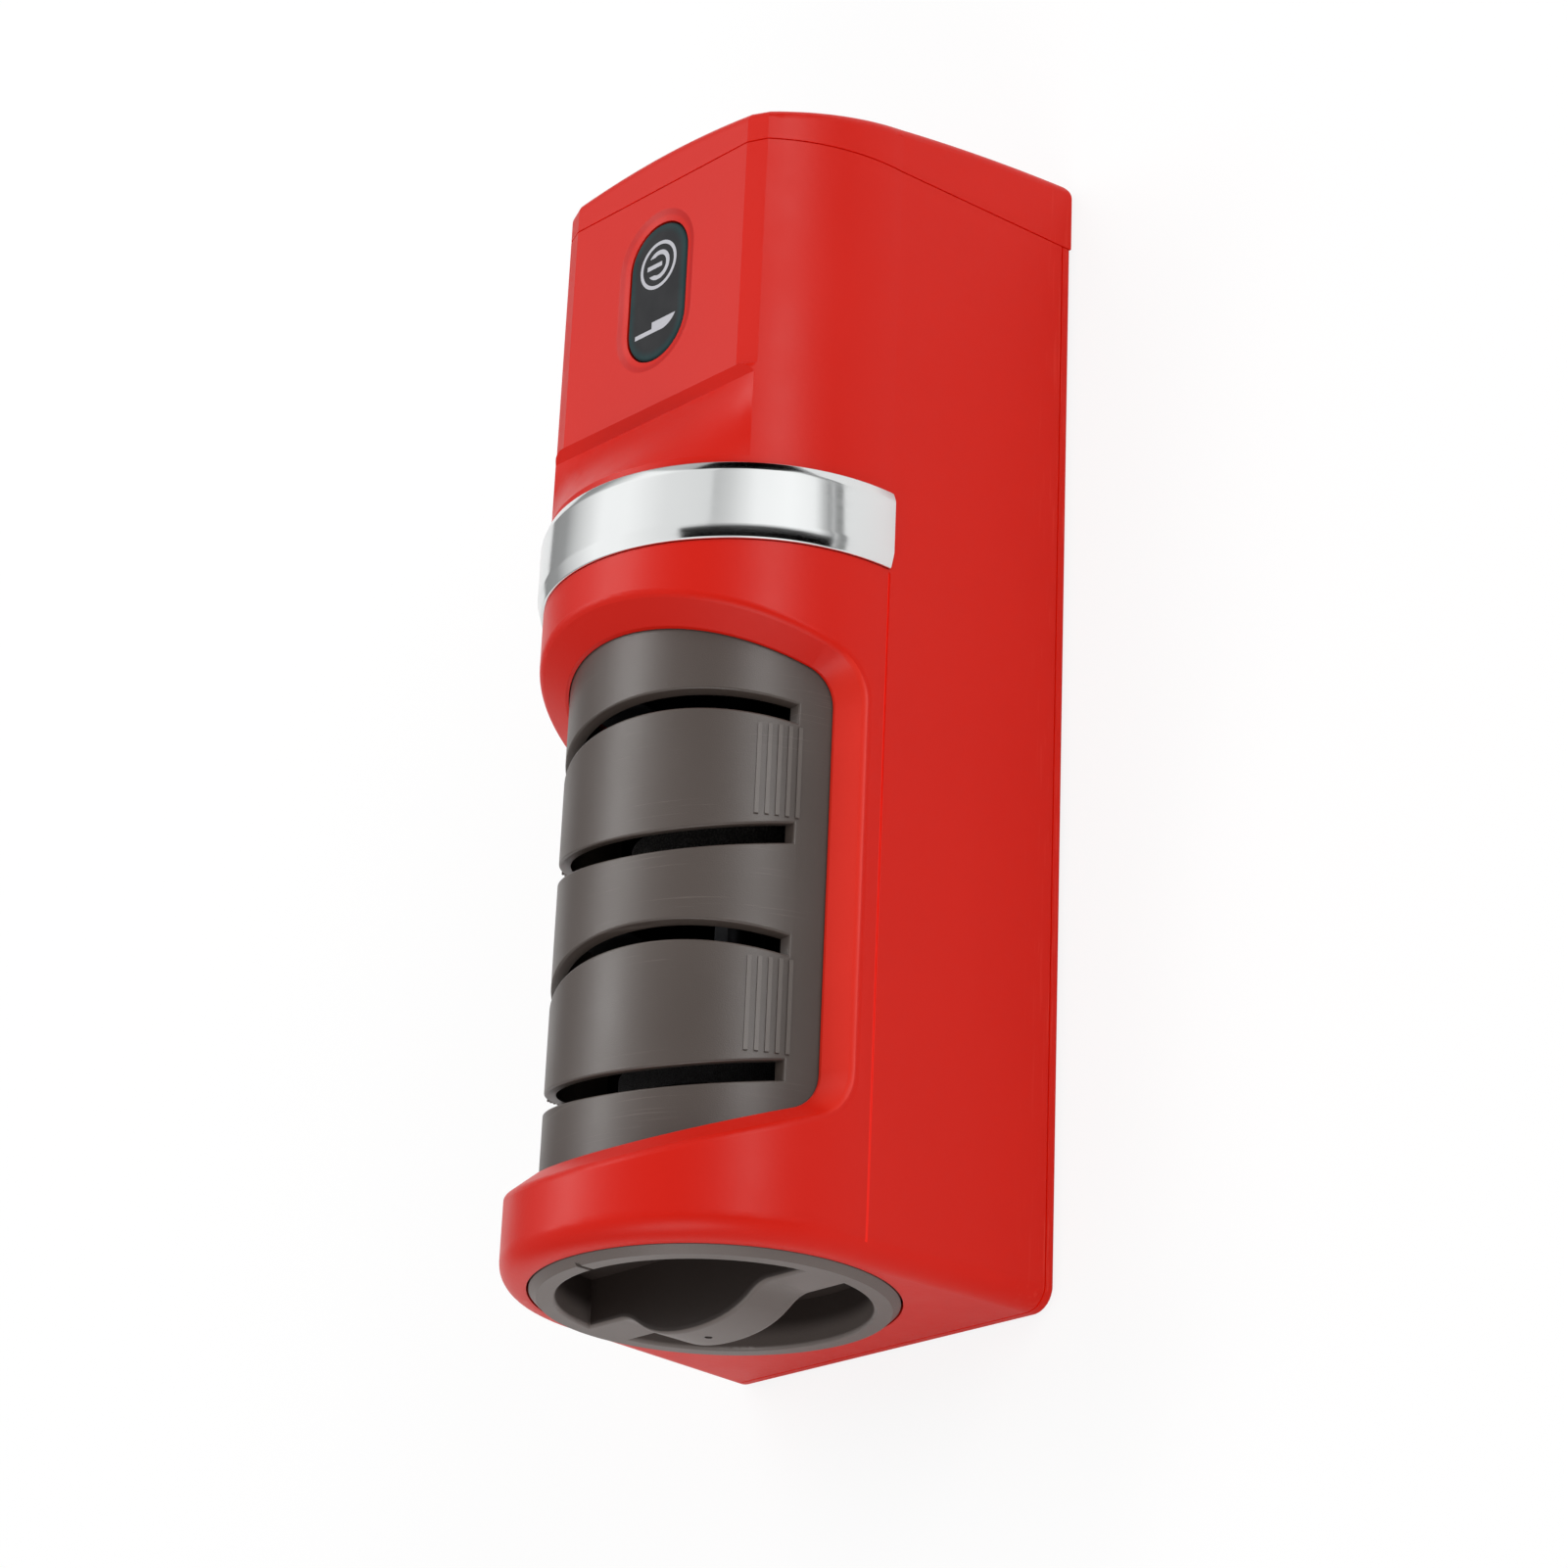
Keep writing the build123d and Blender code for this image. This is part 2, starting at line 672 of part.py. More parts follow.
def screw(radius, length, head_radius, head_height):
    """a pan-head screw that points up, head below z = 0, with a cross recess"""
    head = Pos(0, 0, -head_height / 2) * Cylinder(head_radius, head_height)
    shank = Pos(0, 0, length / 2) * Cylinder(radius, length)
    tip = chamfer(shank.edges().sort_by(Axis.Z)[-1], radius / 2)
    recess = Box(head_radius, head_radius / 4, head_height)
    recess += Box(head_radius / 4, head_radius, head_height)
    return head + tip - Pos(0, 0, -head_height) * recess


def small_screw(length):
    """a small pan-head screw"""
    return screw(small_screw_radius, length, small_screw_head_radius, small_screw_head_height)


def base_screws_at(places):
    """the large screws, heads sunk in the underside"""
    shape = screw(screw_radius, screw_length, screw_head_radius, screw_head_height)
    return Compound(children=[Pos(at(d), y, floor_z + screw_head_height) * shape for d, y in places])


def make_board_screws():
    """small screws under the corners of the circuit board"""
    shape = small_screw(small_screw_length)
    return Compound(children=[Pos(at(d), y, board_low_z) * shape for d, y in board_screw_places()])


def make_cover_screws():
    """small screws that hold the slot cover under the crown"""
    shape = small_screw(cover_screw_length)
    places = [Pos(at(d), 0, cover_screw_seat()) for d in cover_screw_ds()]
    return Compound(children=[place * shape for place in places])


def make_chrome_band():
    """the bright band over the crown"""
    start = band_start + fit_gap / 2
    end = band_start + band_width - fit_gap / 2
    inner = arch_radius - band_seat_depth
    outer = arch_radius + band_proud
    rim = outer - band_shoulder_drop
    outline = Polyline(
        (at(start), inner), (at(start), rim), (at(start + band_shoulder), outer),
        (at(end - band_shoulder), outer), (at(end), rim), (at(end), inner), close=True,
    )
    band = Pos(0, 0, axis_z) * revolve(make_face(outline), Axis.X)
    return band & block(start, end, -cut_reach, cut_reach, axis_z + fit_gap / 2, cut_reach)


def edge_radius(edge):
    """distance of an edge's middle from the drive axis"""
    middle = edge @ 0.5
    return sqrt(middle.Y**2 + (middle.Z - axis_z) ** 2)


def make_slot_cover():
    """the dark cover in the window, with four leaning blade slots and grip ribs"""
    cover = ring(0, housing_length, cover_radius, cover_radius - cover_wall)
    cover &= window_prism(cover_flange, cover_foot)
    slots = [slot_slab(d, side, slot_width, slot_foot, arch_radius) for d, side in slot_centers()]
    cover -= slots
    cover = fillet([edge for edge in cover.edges() if on_slot_lip(edge)], slot_edge_radius)
    for center in stage_centers:
        for angle in grip_rib_angles:
            cover += grip_rib(center, angle) - slots
            cover += grip_rib(center, -angle) - slots
    for d in cover_screw_ds():
        cover -= post(d, 0, axis_z, axis_z + arch_radius, small_screw_radius + screw_clear)
        seat = cover_screw_seat()
        cover -= post(d, 0, seat - wall, seat, small_screw_head_radius + screw_clear)
    return cover


def on_slot_lip(edge):
    """whether an edge is an outer lip of a blade slot"""
    middle = edge @ 0.5
    reach = slot_offset + slot_lean * cover_radius + slot_width
    first, last = at(stage_centers[0] - reach), at(stage_centers[1] + reach)
    on_outside = abs(edge_radius(edge) - cover_radius) < fit_gap
    return on_outside and first < middle.X < last and middle.Z > axis_z + slot_foot - fit_gap


def grip_rib(center, angle):
    """a fine raised rib along the cover"""
    place = Pos(at(center), 0, axis_z) * Rot(angle, 0, 0)
    depth = grip_rib_height + cover_wall / 2
    middle = cover_radius + grip_rib_height - depth / 2
    return place * Pos(0, 0, middle) * Box(grip_rib_length, grip_rib_width, depth)


def make_end_knob():
    """the twist knob: flange, pocketed cup, arched grip, bayonet lugs and a bearing hub"""
    flange = rod(-knob_face_reach, knob_flange_depth, knob_radius)
    flange = chamfer(flange.edges().sort_by(Axis.X)[0], knob_edge)
    knob = flange + rod(0, knob_floor_end, knob_cup_outer)
    knob -= rod(-knob_edge - wall, knob_pocket_depth, knob_pocket_radius)
    face = knob.faces().sort_by(Axis.X)[0]
    knob = fillet(face.edges().sort_by(SortBy.LENGTH)[0], knob_lip)
    knob += knob_grip()
    lugs = lug_sectors(lug_start, lug_start + lug_thickness, 0, lug_angle, lug_radius)
    knob += lugs - rod(0, housing_length, knob_pocket_radius)
    knob += rod(knob_floor_end - knob_floor / 2, knob_floor_end + bush_length, knob_hub_radius)
    knob -= rod(knob_floor_end, housing_length, bush_radius)
    face = -knob_face_reach
    knob -= block(face - wall, face + index_depth, -index_width / 2, index_width / 2,
                  axis_z + knob_pocket_radius, axis_z + knob_radius)
    for side in (-1, 1):
        place = Pos(at(-grip_crest), side * dimple_pitch / 2, axis_z)
        knob -= place * Sphere(dimple_radius)
    return knob


def knob_grip():
    """the straight grip across the knob, arched outwards"""
    half = knob_pocket_radius + knob_cup_wall / 2
    face_x = at(-knob_face_reach)
    shoulder_x = face_x - grip_shoulder
    foot, shoulder = grip_foot_offset, grip_shoulder_offset
    points = [(face_x, -foot), (shoulder_x, -shoulder), (at(-grip_crest), 0), (shoulder_x, shoulder)]
    arch = Spline(*points, (face_x, foot), tangents=[(0, 1), (0, 1)])
    floor_x = at(knob_pocket_depth + knob_floor / 2)
    sides = Polyline((face_x, foot), (face_x, half), (floor_x, half),
                     (floor_x, -half), (face_x, -half), (face_x, -foot))
    face = Plane.XY.offset(axis_z) * make_face(arch + sides)
    grip = extrude(face, grip_width / 2, both=True)
    crest_edges = [edge for edge in grip.edges() if edge.center().X < face_x - grip_edge]
    return fillet(crest_edges, grip_edge)


def make_knob_bush():
    """the plain bearing of the shaft in the knob's hub"""
    return ring(knob_floor_end, knob_floor_end + bush_length, bush_radius, shaft_radius + run_gap)


def flat_rod(d_start, d_end, radius, flat):
    """a rod on the drive axis with one flat"""
    cut = block(d_start, d_end, -radius, radius, axis_z + flat, axis_z + 2 * radius)
    return rod(d_start, d_end, radius) - cut


def make_grinding_shaft():
    """the shaft that carries the wheels"""
    start = knob_floor_end + shaft_end_gap
    shaft = rod(start, shaft_end, shaft_radius)
    first, last = wheel_zone()
    shaft -= block(first, last, -shaft_radius, shaft_radius, axis_z + shaft_flat, axis_z + 2 * shaft_radius)
    for d in clip_places():
        shaft -= ring(d, d + clip_thickness, 2 * shaft_radius, shaft_radius - clip_groove)
    return shaft


def wheel_hub_offset():
    """outer face of a wheel's hub from the stage centre"""
    return wheel_edge_offset + wheel_cone_run * (wheel_radius - wheel_hub_radius)


def wheel_zone():
    """d range of the shaft's flat"""
    reach = wheel_hub_offset() + wheel_zone_margin
    return stage_centers[0] - reach, stage_centers[1] + reach


def clip_places():
    """d of the clips that hold the wheels against their springs"""
    reach = wheel_hub_offset() + run_gap
    return [d for center in stage_centers for d in (center - reach - clip_thickness, center + reach)]


def make_shaft_clips():
    """snap clips in the grooves of the shaft"""
    clips = []
    for d in clip_places():
        clip = ring(d, d + clip_thickness, clip_radius, shaft_radius - clip_groove)
        half = shaft_radius / 2
        mouth = block(d, d + clip_thickness, -half, half, axis_z - 2 * clip_radius, axis_z)
        clips.append(clip - mouth)
    return Compound(children=clips)


def make_wheel(center, side):
    """a conical abrasive wheel with a flatted bore, facing away from its stage centre"""
    inner = wheel_inner_offset
    outline = Polyline(
        (inner, 0), (inner, wheel_radius), (wheel_edge_offset, wheel_radius),
        (wheel_hub_offset(), wheel_hub_radius), (wheel_hub_offset(), 0), close=True,
    )
    wheel = revolve(make_face(outline), Axis.X)
    wheel = wheel if side > 0 else mirror(wheel, Plane.YZ)
    wheel = Pos(at(center), 0, axis_z) * wheel
    low, high = center - wheel_radius, center + wheel_radius
    wheel -= flat_rod(low, high, shaft_radius + run_gap, shaft_flat + run_gap)
    face = center + side * inner
    half_seat = wheel_spring_wire + fit_gap
    seat = ring(face - spring_seat, face + spring_seat, wheel_spring_radius + half_seat,
                wheel_spring_radius - half_seat)
    return wheel - seat


def make_wheel_spring(center):
    """the spring that presses the two wheels of a stage apart"""
    half = wheel_inner_offset + spring_seat - wheel_spring_wire - run_gap
    pitch = 2 * half / wheel_spring_turns
    place = Pos(at(center) - half, 0, axis_z) * Rot(0, 90, 0)
    path = Helix(pitch, 2 * half, wheel_spring_radius)
    start = Plane(origin=path @ 0, z_dir=path % 0)
    return place * sweep(start * Circle(wheel_spring_wire), path=path)


def make_guide_springs():
    """leaf springs under the cover that press a blade towards its wheel"""
    strips = []
    for d, side in slot_centers():
        top = sqrt((cover_radius - cover_wall) ** 2 - (spring_strip_width / 2) ** 2)
        slab = slot_slab(d + side * (slot_width / 2 + spring_strip), side, spring_strip,
                         top - spring_strip_length, top)
        half = spring_strip_width / 2
        strips.append(slab & block(0, housing_length, -half, half, 0, 2 * axis_z))
    return Compound(children=strips)


def make_bulkhead():
    """the wall between the grinding bay and the motor, with the seat of the ball bearing"""
    start = bulkhead_start
    end = start + bulkhead_thickness
    plate = arch_solid(start, end, wall + bulkhead_gap, deck_z)
    plate += rod(bearing_start, end, bearing_outer + bearing_boss_wall)
    plate -= rod(bearing_start, bearing_start + bearing_width, bearing_outer)
    plate -= rod(bearing_start, end, bearing_shoulder)
    return add_bracket_feet(plate, start)


def add_bracket_feet(plate, d_face):
    """two feet on the deck, with screw holes, on the knob side of an upright plate"""
    foot_start = d_face - bracket_foot_length
    foot_top = deck_z + bracket_foot_height
    half = bracket_foot_width / 2
    for side in (-1, 1):
        y = side * bracket_foot_side
        plate += block(foot_start, d_face, y - half, y + half, deck_z, foot_top)
    for d, y in bracket_screw_places():
        if foot_start < d < d_face:
            plate -= post(d, y, 0, base_screw_top(), screw_radius + screw_clear)
    return plate


def make_motor_plate():
    """the upright plate that the motor is screwed to"""
    plate = rod(motor_plate_start, motor_front, motor_plate_radius)
    half = motor_plate_radius
    plate += block(motor_plate_start, motor_front, -half, half, deck_z, axis_z)
    plate -= rod(motor_plate_start, motor_front, motor_boss_radius + screw_clear)
    plate -= motor_screw_holes()
    return add_bracket_feet(plate, motor_plate_start)


def motor_screw_holes():
    """clearance holes for the motor screws, through plate and can"""
    start = motor_plate_start - overlap
    end = motor_front + motor_wall + overlap
    places = [Pos(0, side * motor_screw_offset, 0) for side in (-1, 1)]
    holes = [place * rod(start, end, screw_radius + screw_clear) for place in places]
    return holes[0] + holes[1]


def make_motor_screws():
    """screws through the motor plate into the can"""
    length = motor_plate_thickness + motor_wall + motor_screw_reach
    shape = Rot(0, 90, 0) * screw(screw_radius, length, screw_head_radius, screw_head_height)
    offsets = (-motor_screw_offset, motor_screw_offset)
    places = [Pos(at(motor_plate_start), y, axis_z) for y in offsets]
    return Compound(children=[place * shape for place in places])


def make_motor_can():
    """the steel can with its front boss"""
    can = rod(motor_front, motor_front + motor_length, motor_radius)
    can -= rod(motor_front + motor_wall, motor_front + motor_length, motor_radius - motor_wall)
    can += rod(motor_front - motor_boss_length, motor_front + motor_wall, motor_boss_radius)
    can -= rod(motor_front - motor_boss_length, motor_front + motor_wall, motor_shaft_radius + run_gap)
    return can - motor_screw_holes()


def make_motor_magnets():
    """two curved magnets inside the can"""
    outer = motor_radius - motor_wall
    pair = arc_blocks(magnet_start(), rotor_length, outer, magnet_thickness, 0, magnet_arc)
    return Compound(children=pair)


def arc_blocks(d_start, length, outer, thickness, turn, arc):
    """two opposite curved blocks around the drive axis"""
    reach = 3 * outer
    place = Plane.YZ.offset(at(d_start)) * Pos(0, axis_z)
    blocks = []
    for middle in (turn, turn + 180):
        sides = [radians(middle - arc / 2), radians(middle + arc / 2)]
        corners = [(0, 0)] + [(reach * cos(angle), reach * sin(angle)) for angle in sides]
        wedge = make_face(Polyline(*corners, close=True)) & (Circle(outer) - Circle(outer - thickness))
        blocks.append(extrude(place * wedge, length))
    return blocks


def magnet_start():
    """d of the magnets and of the rotor stack"""
    return motor_front + motor_wall + magnet_offset


def make_motor_bell():
    """the plastic end of the motor, with the rear bearing of its shaft"""
    start = motor_front + motor_length
    bell = rod(start, start + motor_bell_length, motor_radius)
    bell = chamfer(bell.edges().sort_by(Axis.X)[-1], motor_bell_length / 4)
    bell += rod(start - wall, start, motor_radius - motor_wall)
    bell -= rod(start - wall, start + motor_bell_length / 2, motor_radius - 2 * motor_wall)
    bell += ring(start, start + motor_bell_length / 2, commutator_radius, motor_shaft_radius + run_gap)
    bell -= rod(start, start + motor_bell_length - motor_wall, motor_shaft_radius + run_gap)
    return bell


def make_motor_terminals():
    """two solder tags on the motor's end"""
    start = motor_front + motor_length + motor_bell_length
    half = terminal_width / 2
    low = axis_z - terminal_thickness / 2
    tags = []
    for y in (-terminal_offset, terminal_offset):
        tag = block(start, start + terminal_length, y - half, y + half, low, low + terminal_thickness)
        tags.append(tag)
    return Compound(children=tags)


def make_motor_rotor():
    """the motor shaft with its laminated core and commutator"""
    outer = motor_radius - motor_wall - magnet_thickness - rotor_gap
    start = magnet_start()
    end = motor_front + motor_length + motor_bell_length - 2 * motor_wall
    rotor = rod(motor_coupler_start + coupler_gap, end, motor_shaft_radius)
    core = rod(start, start + rotor_length, outer)
    for index in range(rotor_slots):
        angle = radians(360 / rotor_slots * index)
        groove = Pos(at(start + rotor_length / 2), outer * cos(angle), axis_z + outer * sin(angle))
        core -= groove * Rot(0, 90, 0) * Cylinder(outer / 6, rotor_length)
    rotor += core
    rotor += rod(start + rotor_length, start + rotor_length + commutator_length, commutator_radius)
    return rotor


def make_shaft_coupler():
    """the coupler on the grinding shaft, with two dogs"""
    start = bulkhead_start + bulkhead_thickness + coupler_gap
    coupler = rod(start, start + coupler_plate, coupler_radius)
    coupler -= rod(start, start + coupler_plate, shaft_radius)
    return coupler + coupler_dogs(start + coupler_plate, 0)


def make_motor_coupler():
    """the coupler on the motor shaft, with two dogs between those of the other"""
    start = motor_coupler_start
    end = start + motor_coupler_plate
    coupler = rod(start, end, coupler_radius)
    coupler -= rod(start + coupler_gap, end, motor_shaft_radius)
    return coupler + coupler_dogs(start - coupler_dog, 90)


def coupler_dogs(d_start, turn):
    """two opposite dogs of a coupler"""
    dogs = arc_blocks(d_start, coupler_dog, coupler_radius, coupler_radius / 2, turn, coupler_dog_angle)
    return dogs[0] + dogs[1]


def race(outer, inner, groove_radius):
    """a bearing race with a round groove for the balls"""
    body = ring(bearing_start, bearing_start + bearing_width, outer, inner)
    groove = Pos(at(bearing_start + bearing_width / 2), 0, axis_z) * Rot(0, 90, 0)
    return body - groove * Torus(ball_circle(), groove_radius)


def ball_circle():
    """radius of the circle of ball centres"""
    return (bearing_outer + shaft_radius) / 2


def ball_radius():
    """balls reach into the groove of each race"""
    return (bearing_outer - shaft_radius) / 2 - race_thickness + race_groove_depth


def make_outer_race():
    """the race that sits in the bulkhead"""
    return race(bearing_outer, bearing_outer - race_thickness, ball_radius() + ball_gap)


def make_inner_race():
    """the race that sits on the shaft"""
    return race(shaft_radius + race_thickness, shaft_radius, ball_radius() + ball_gap)


def make_bearing_balls():
    """the balls between the races"""
    balls = []
    for index in range(ball_count):
        angle = radians(360 / ball_count * index)
        y = ball_circle() * sin(angle)
        z = axis_z + ball_circle() * cos(angle)
        balls.append(Pos(at(bearing_start + bearing_width / 2), y, z) * Sphere(ball_radius()))
    return Compound(children=balls)


def make_dust_tray():
    """the open tray that catches the filings under the wheels"""
    end = tray_start + tray_length
    half = tray_half_width
    tray = block(tray_start, end, -half, half, deck_z, deck_z + tray_height)
    inner = half - tray_wall
    tray -= block(tray_start + tray_wall, end - tray_wall, -inner, inner,
                  deck_z + tray_wall, deck_z + 2 * tray_height)
    return tray


def button_top_z():
    """height of the button's face"""
    return facet_z - button_sink


def button_flange_top():
    """height of the top of the button's flange, just under the shell"""
    return facet_inner_z - fit_gap


def make_power_button():
    """the oval button with its hidden flange"""
    top = button_top_z()
    button = pill(button_center, button_length, button_width, button_flange_top(), top)
    button = fillet(button.edges().group_by(Axis.Z)[-1], button_edge_radius)
    border = 2 * button_flange_border
    button += pill(button_center, button_length + border, button_width + border,
                   button_flange_top() - button_flange, button_flange_top())
    return button - button_symbols(top - symbol_depth, top + symbol_depth)


def button_symbols(z_low, z_high):
    """a ring with a power sign in it, and a small plain knife, as upright prisms"""
    ring_face = Circle(symbol_ring_radius) - Circle(symbol_ring_radius - symbol_ring_width)
    half_stroke = symbol_stroke / 2
    arc_face = Circle(symbol_arc_radius + half_stroke) - Circle(symbol_arc_radius - half_stroke)
    gap = Pos(0, symbol_arc_radius) * Rectangle(symbol_arc_gap, 2 * symbol_arc_radius)
    bar_length = symbol_ring_radius - symbol_stroke
    bar = Pos(0, bar_length / 4) * Rectangle(symbol_stroke, bar_length)
    power = Pos(at(symbol_center), 0) * (ring_face + (arc_face - gap) + bar)
    half = knife_symbol_length / 2
    heel = (0, -symbol_stroke)
    tip = (knife_blade_depth, -half)
    knife = Polyline(heel, (0, half), (symbol_stroke, half), (symbol_stroke, symbol_stroke),
                     (knife_blade_depth, symbol_stroke), tip)
    knife += ThreePointArc(tip, (knife_blade_depth / 4, -0.7 * half), heel)
    knife = Pos(at(knife_symbol_place), 0) * make_face(knife)
    return extrude(Plane.XY.offset(z_low) * (power + knife), z_high - z_low)


def make_button_symbols():
    """the light inlay in the button's face"""
    top = button_top_z()
    return solid_list(button_symbols(top - symbol_depth, top))


def make_circuit_board():
    """the board that carries the switch"""
    half = board_width / 2
    board = block(board_start, board_start + board_length, -half, half, board_low_z, board_top_z)
    for d, y in board_screw_places():
        board -= post(d, y, board_low_z, board_top_z, small_screw_radius + screw_clear)
    return board


def make_tact_switch():
    """the switch body under the button"""
    half = switch_size / 2
    top = board_top_z + switch_height
    body = block(button_center - half, button_center + half, -half, half, board_top_z, top)
    low = plunger_low() - button_stroke - fit_gap / 2
    return body - post(button_center, 0, low, facet_z, switch_plunger_radius + run_gap)


def plunger_low():
    """height of the plunger's lower end, inside the switch"""
    return button_flange_top() - button_flange - switch_plunger_length


def make_switch_plunger():
    """the plunger between the switch and the button"""
    low = plunger_low()
    return post(button_center, 0, low, low + switch_plunger_length, switch_plunger_radius)


def cell_z():
    """height of the battery cells' axes"""
    return deck_z + cradle_floor + cell_radius


def make_battery_cells():
    """two round cells side by side under the motor"""
    cells = []
    for side in (-1, 1):
        place = Plane.YZ.offset(at(cell_start)) * Pos(side * cell_pitch / 2, cell_z())
        cell = extrude(place * Circle(cell_radius), cell_length)
        cells.append(chamfer(cell.edges(), cell_edge))
    return Compound(children=cells)


def make_battery_cradle():
    """the tray that the cells lie in"""
    half = cell_pitch / 2 + cell_radius + cradle_wall
    start = cell_start - contact_thickness - cradle_wall
    end = cell_start + cell_length + contact_thickness + cradle_wall
    cradle = block(start, end, -half, half, deck_z, deck_z + cradle_height)
    room = block(start + cradle_wall, end - cradle_wall, -half + cradle_wall, half - cradle_wall,
                 deck_z + cradle_floor, deck_z + 2 * cradle_height)
    return cradle - room


def make_battery_contacts():
    """flat contact strips at both ends of the cells"""
    strips = []
    for d in (cell_start - contact_thickness, cell_start + cell_length):
        strips.append(block(d, d + contact_thickness, -contact_half_width, contact_half_width,
                            deck_z + cradle_floor, cell_z() + contact_height))
    return Compound(children=strips)


def make_charge_socket():
    """the small flat-oval charging socket in the end cap"""
    shell = socket_block(socket_width / 2, socket_height / 2, socket_end())
    inner = socket_block(socket_width / 2 - socket_wall, socket_height / 2 - socket_wall, body_length)
    back = socket_end() - socket_depth + socket_back
    inner &= block(back, body_length, -cut_reach, cut_reach, 0, cut_reach)
    half = socket_tongue / 2
    middle = floor_z + socket_rise
    tongue = block(back, socket_end() - socket_back, -half, half,
                   middle - socket_wall, middle + socket_wall)
    return shell - inner + tongue


def make_charge_board():
    """the small board under the charging socket"""
    length, width, thickness = socket_board_size
    top = floor_z + socket_rise - socket_height / 2
    end = socket_end() - wall
    return block(end - length, end, -width / 2, width / 2, top - thickness, top)


parts = {
    "housing": make_housing(),
    "end_cap": make_end_cap(),
    "base_plate": make_base_plate(),
    "rubber_feet": make_rubber_feet(),
    "base_screws": base_screws_at(base_screw_places()),
    "bracket_screws": base_screws_at(bracket_screw_places()),
    "chrome_band": make_chrome_band(),
    "slot_cover": make_slot_cover(),
    "cover_screws": make_cover_screws(),
    "guide_springs": make_guide_springs(),
    "end_knob": make_end_knob(),
    "knob_bush": make_knob_bush(),
    "grinding_shaft": make_grinding_shaft(),
    "shaft_clips": make_shaft_clips(),
    "fine_wheel_left": make_wheel(stage_centers[0], -1),
    "fine_wheel_right": make_wheel(stage_centers[0], 1),
    "coarse_wheel_left": make_wheel(stage_centers[1], -1),
    "coarse_wheel_right": make_wheel(stage_centers[1], 1),
    "fine_spring": make_wheel_spring(stage_centers[0]),
    "coarse_spring": make_wheel_spring(stage_centers[1]),
    "bearing_outer_race": make_outer_race(),
    "bearing_inner_race": make_inner_race(),
    "bearing_balls": make_bearing_balls(),
    "bulkhead": make_bulkhead(),
    "shaft_coupler": make_shaft_coupler(),
    "motor_coupler": make_motor_coupler(),
    "motor_plate": make_motor_plate(),
    "motor_screws": make_motor_screws(),
    "motor_can": make_motor_can(),
    "motor_magnets": make_motor_magnets(),
    "motor_rotor": make_motor_rotor(),
    "motor_bell": make_motor_bell(),
    "motor_terminals": make_motor_terminals(),
    "power_button": make_power_button(),
    "button_symbols": make_button_symbols(),
    "tact_switch": make_tact_switch(),
    "switch_plunger": make_switch_plunger(),
    "circuit_board": make_circuit_board(),
    "board_screws": make_board_screws(),
    "battery_cells": make_battery_cells(),
    "battery_cradle": make_battery_cradle(),
    "battery_contacts": make_battery_contacts(),
    "charge_socket": make_charge_socket(),
    "charge_board": make_charge_board(),
    "dust_tray": make_dust_tray(),
}

os.makedirs("parts", exist_ok=True)
for name, shape in parts.items():
    export_step(shape, f"parts/{name}.step")
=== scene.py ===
# %% [markdown]
# # Electric knife sharpener
# A long arched body lies on its base. The blade slots sit in a dark cover in the crown, a twist
# knob closes one end, and the power button sits on a flat near the other. The solids of the
# frame already have their true shapes, so this lesson is about finishes, light, and the few
# pieces that are worth modelling again by hand.

# %% Load the frame
import bpy
import json
import math
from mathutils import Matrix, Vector


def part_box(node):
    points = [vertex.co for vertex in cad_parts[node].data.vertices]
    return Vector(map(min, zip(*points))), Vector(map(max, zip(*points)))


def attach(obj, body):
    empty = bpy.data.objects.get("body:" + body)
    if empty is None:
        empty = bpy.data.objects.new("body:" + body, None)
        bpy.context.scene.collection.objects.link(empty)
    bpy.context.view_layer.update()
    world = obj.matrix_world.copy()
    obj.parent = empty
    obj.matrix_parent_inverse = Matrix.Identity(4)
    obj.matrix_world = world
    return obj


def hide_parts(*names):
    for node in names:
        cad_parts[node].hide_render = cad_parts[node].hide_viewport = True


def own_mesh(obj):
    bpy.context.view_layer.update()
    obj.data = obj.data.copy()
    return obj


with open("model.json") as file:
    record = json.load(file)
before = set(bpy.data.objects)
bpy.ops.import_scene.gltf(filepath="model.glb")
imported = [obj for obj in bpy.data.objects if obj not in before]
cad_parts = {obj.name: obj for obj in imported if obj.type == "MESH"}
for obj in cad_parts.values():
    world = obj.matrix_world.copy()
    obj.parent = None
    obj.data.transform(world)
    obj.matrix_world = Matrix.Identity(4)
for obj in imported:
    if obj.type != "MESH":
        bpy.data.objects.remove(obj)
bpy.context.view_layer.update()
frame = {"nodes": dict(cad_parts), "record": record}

nodes = frame["nodes"]

# %% [markdown]
# ## Camera
# The body is seen from above its near side and from the knob end, rolled so that the knob end
# comes lowest in the view. A long lens keeps the edges nearly parallel. The numbers place the
# camera about 0.77 m away, where one would stand to look at a thing on a table.

# %% Camera
CAMERA_PLACE = (-0.306765, -0.513162, 0.498522)
CAMERA_TURN = (25.589, 46.635, -86.667)
CAMERA_LENS = 98.44
bpy.ops.object.select_all(action="DESELECT")
bpy.ops.object.camera_add(location=CAMERA_PLACE, rotation=[math.radians(a) for a in CAMERA_TURN])
camera = bpy.context.object
camera.name = "product_camera"
camera.data.lens = CAMERA_LENS
camera.data.sensor_width = 36.0
camera.data.clip_start = 0.05
camera.data.clip_end = 20.0
bpy.context.scene.camera = camera
bpy.context.scene.view_settings.view_transform = "Standard"
print("camera", tuple(round(v, 3) for v in camera.location))

# %% [markdown]
# ## Shader arithmetic
# A procedural finish is a small calculation: some noise, scaled, added to a number, and sent to
# one input of the surface. Written with nodes by hand that is a lot of wires, so this class
# wraps a socket and lets Python's own operators add the Math nodes.

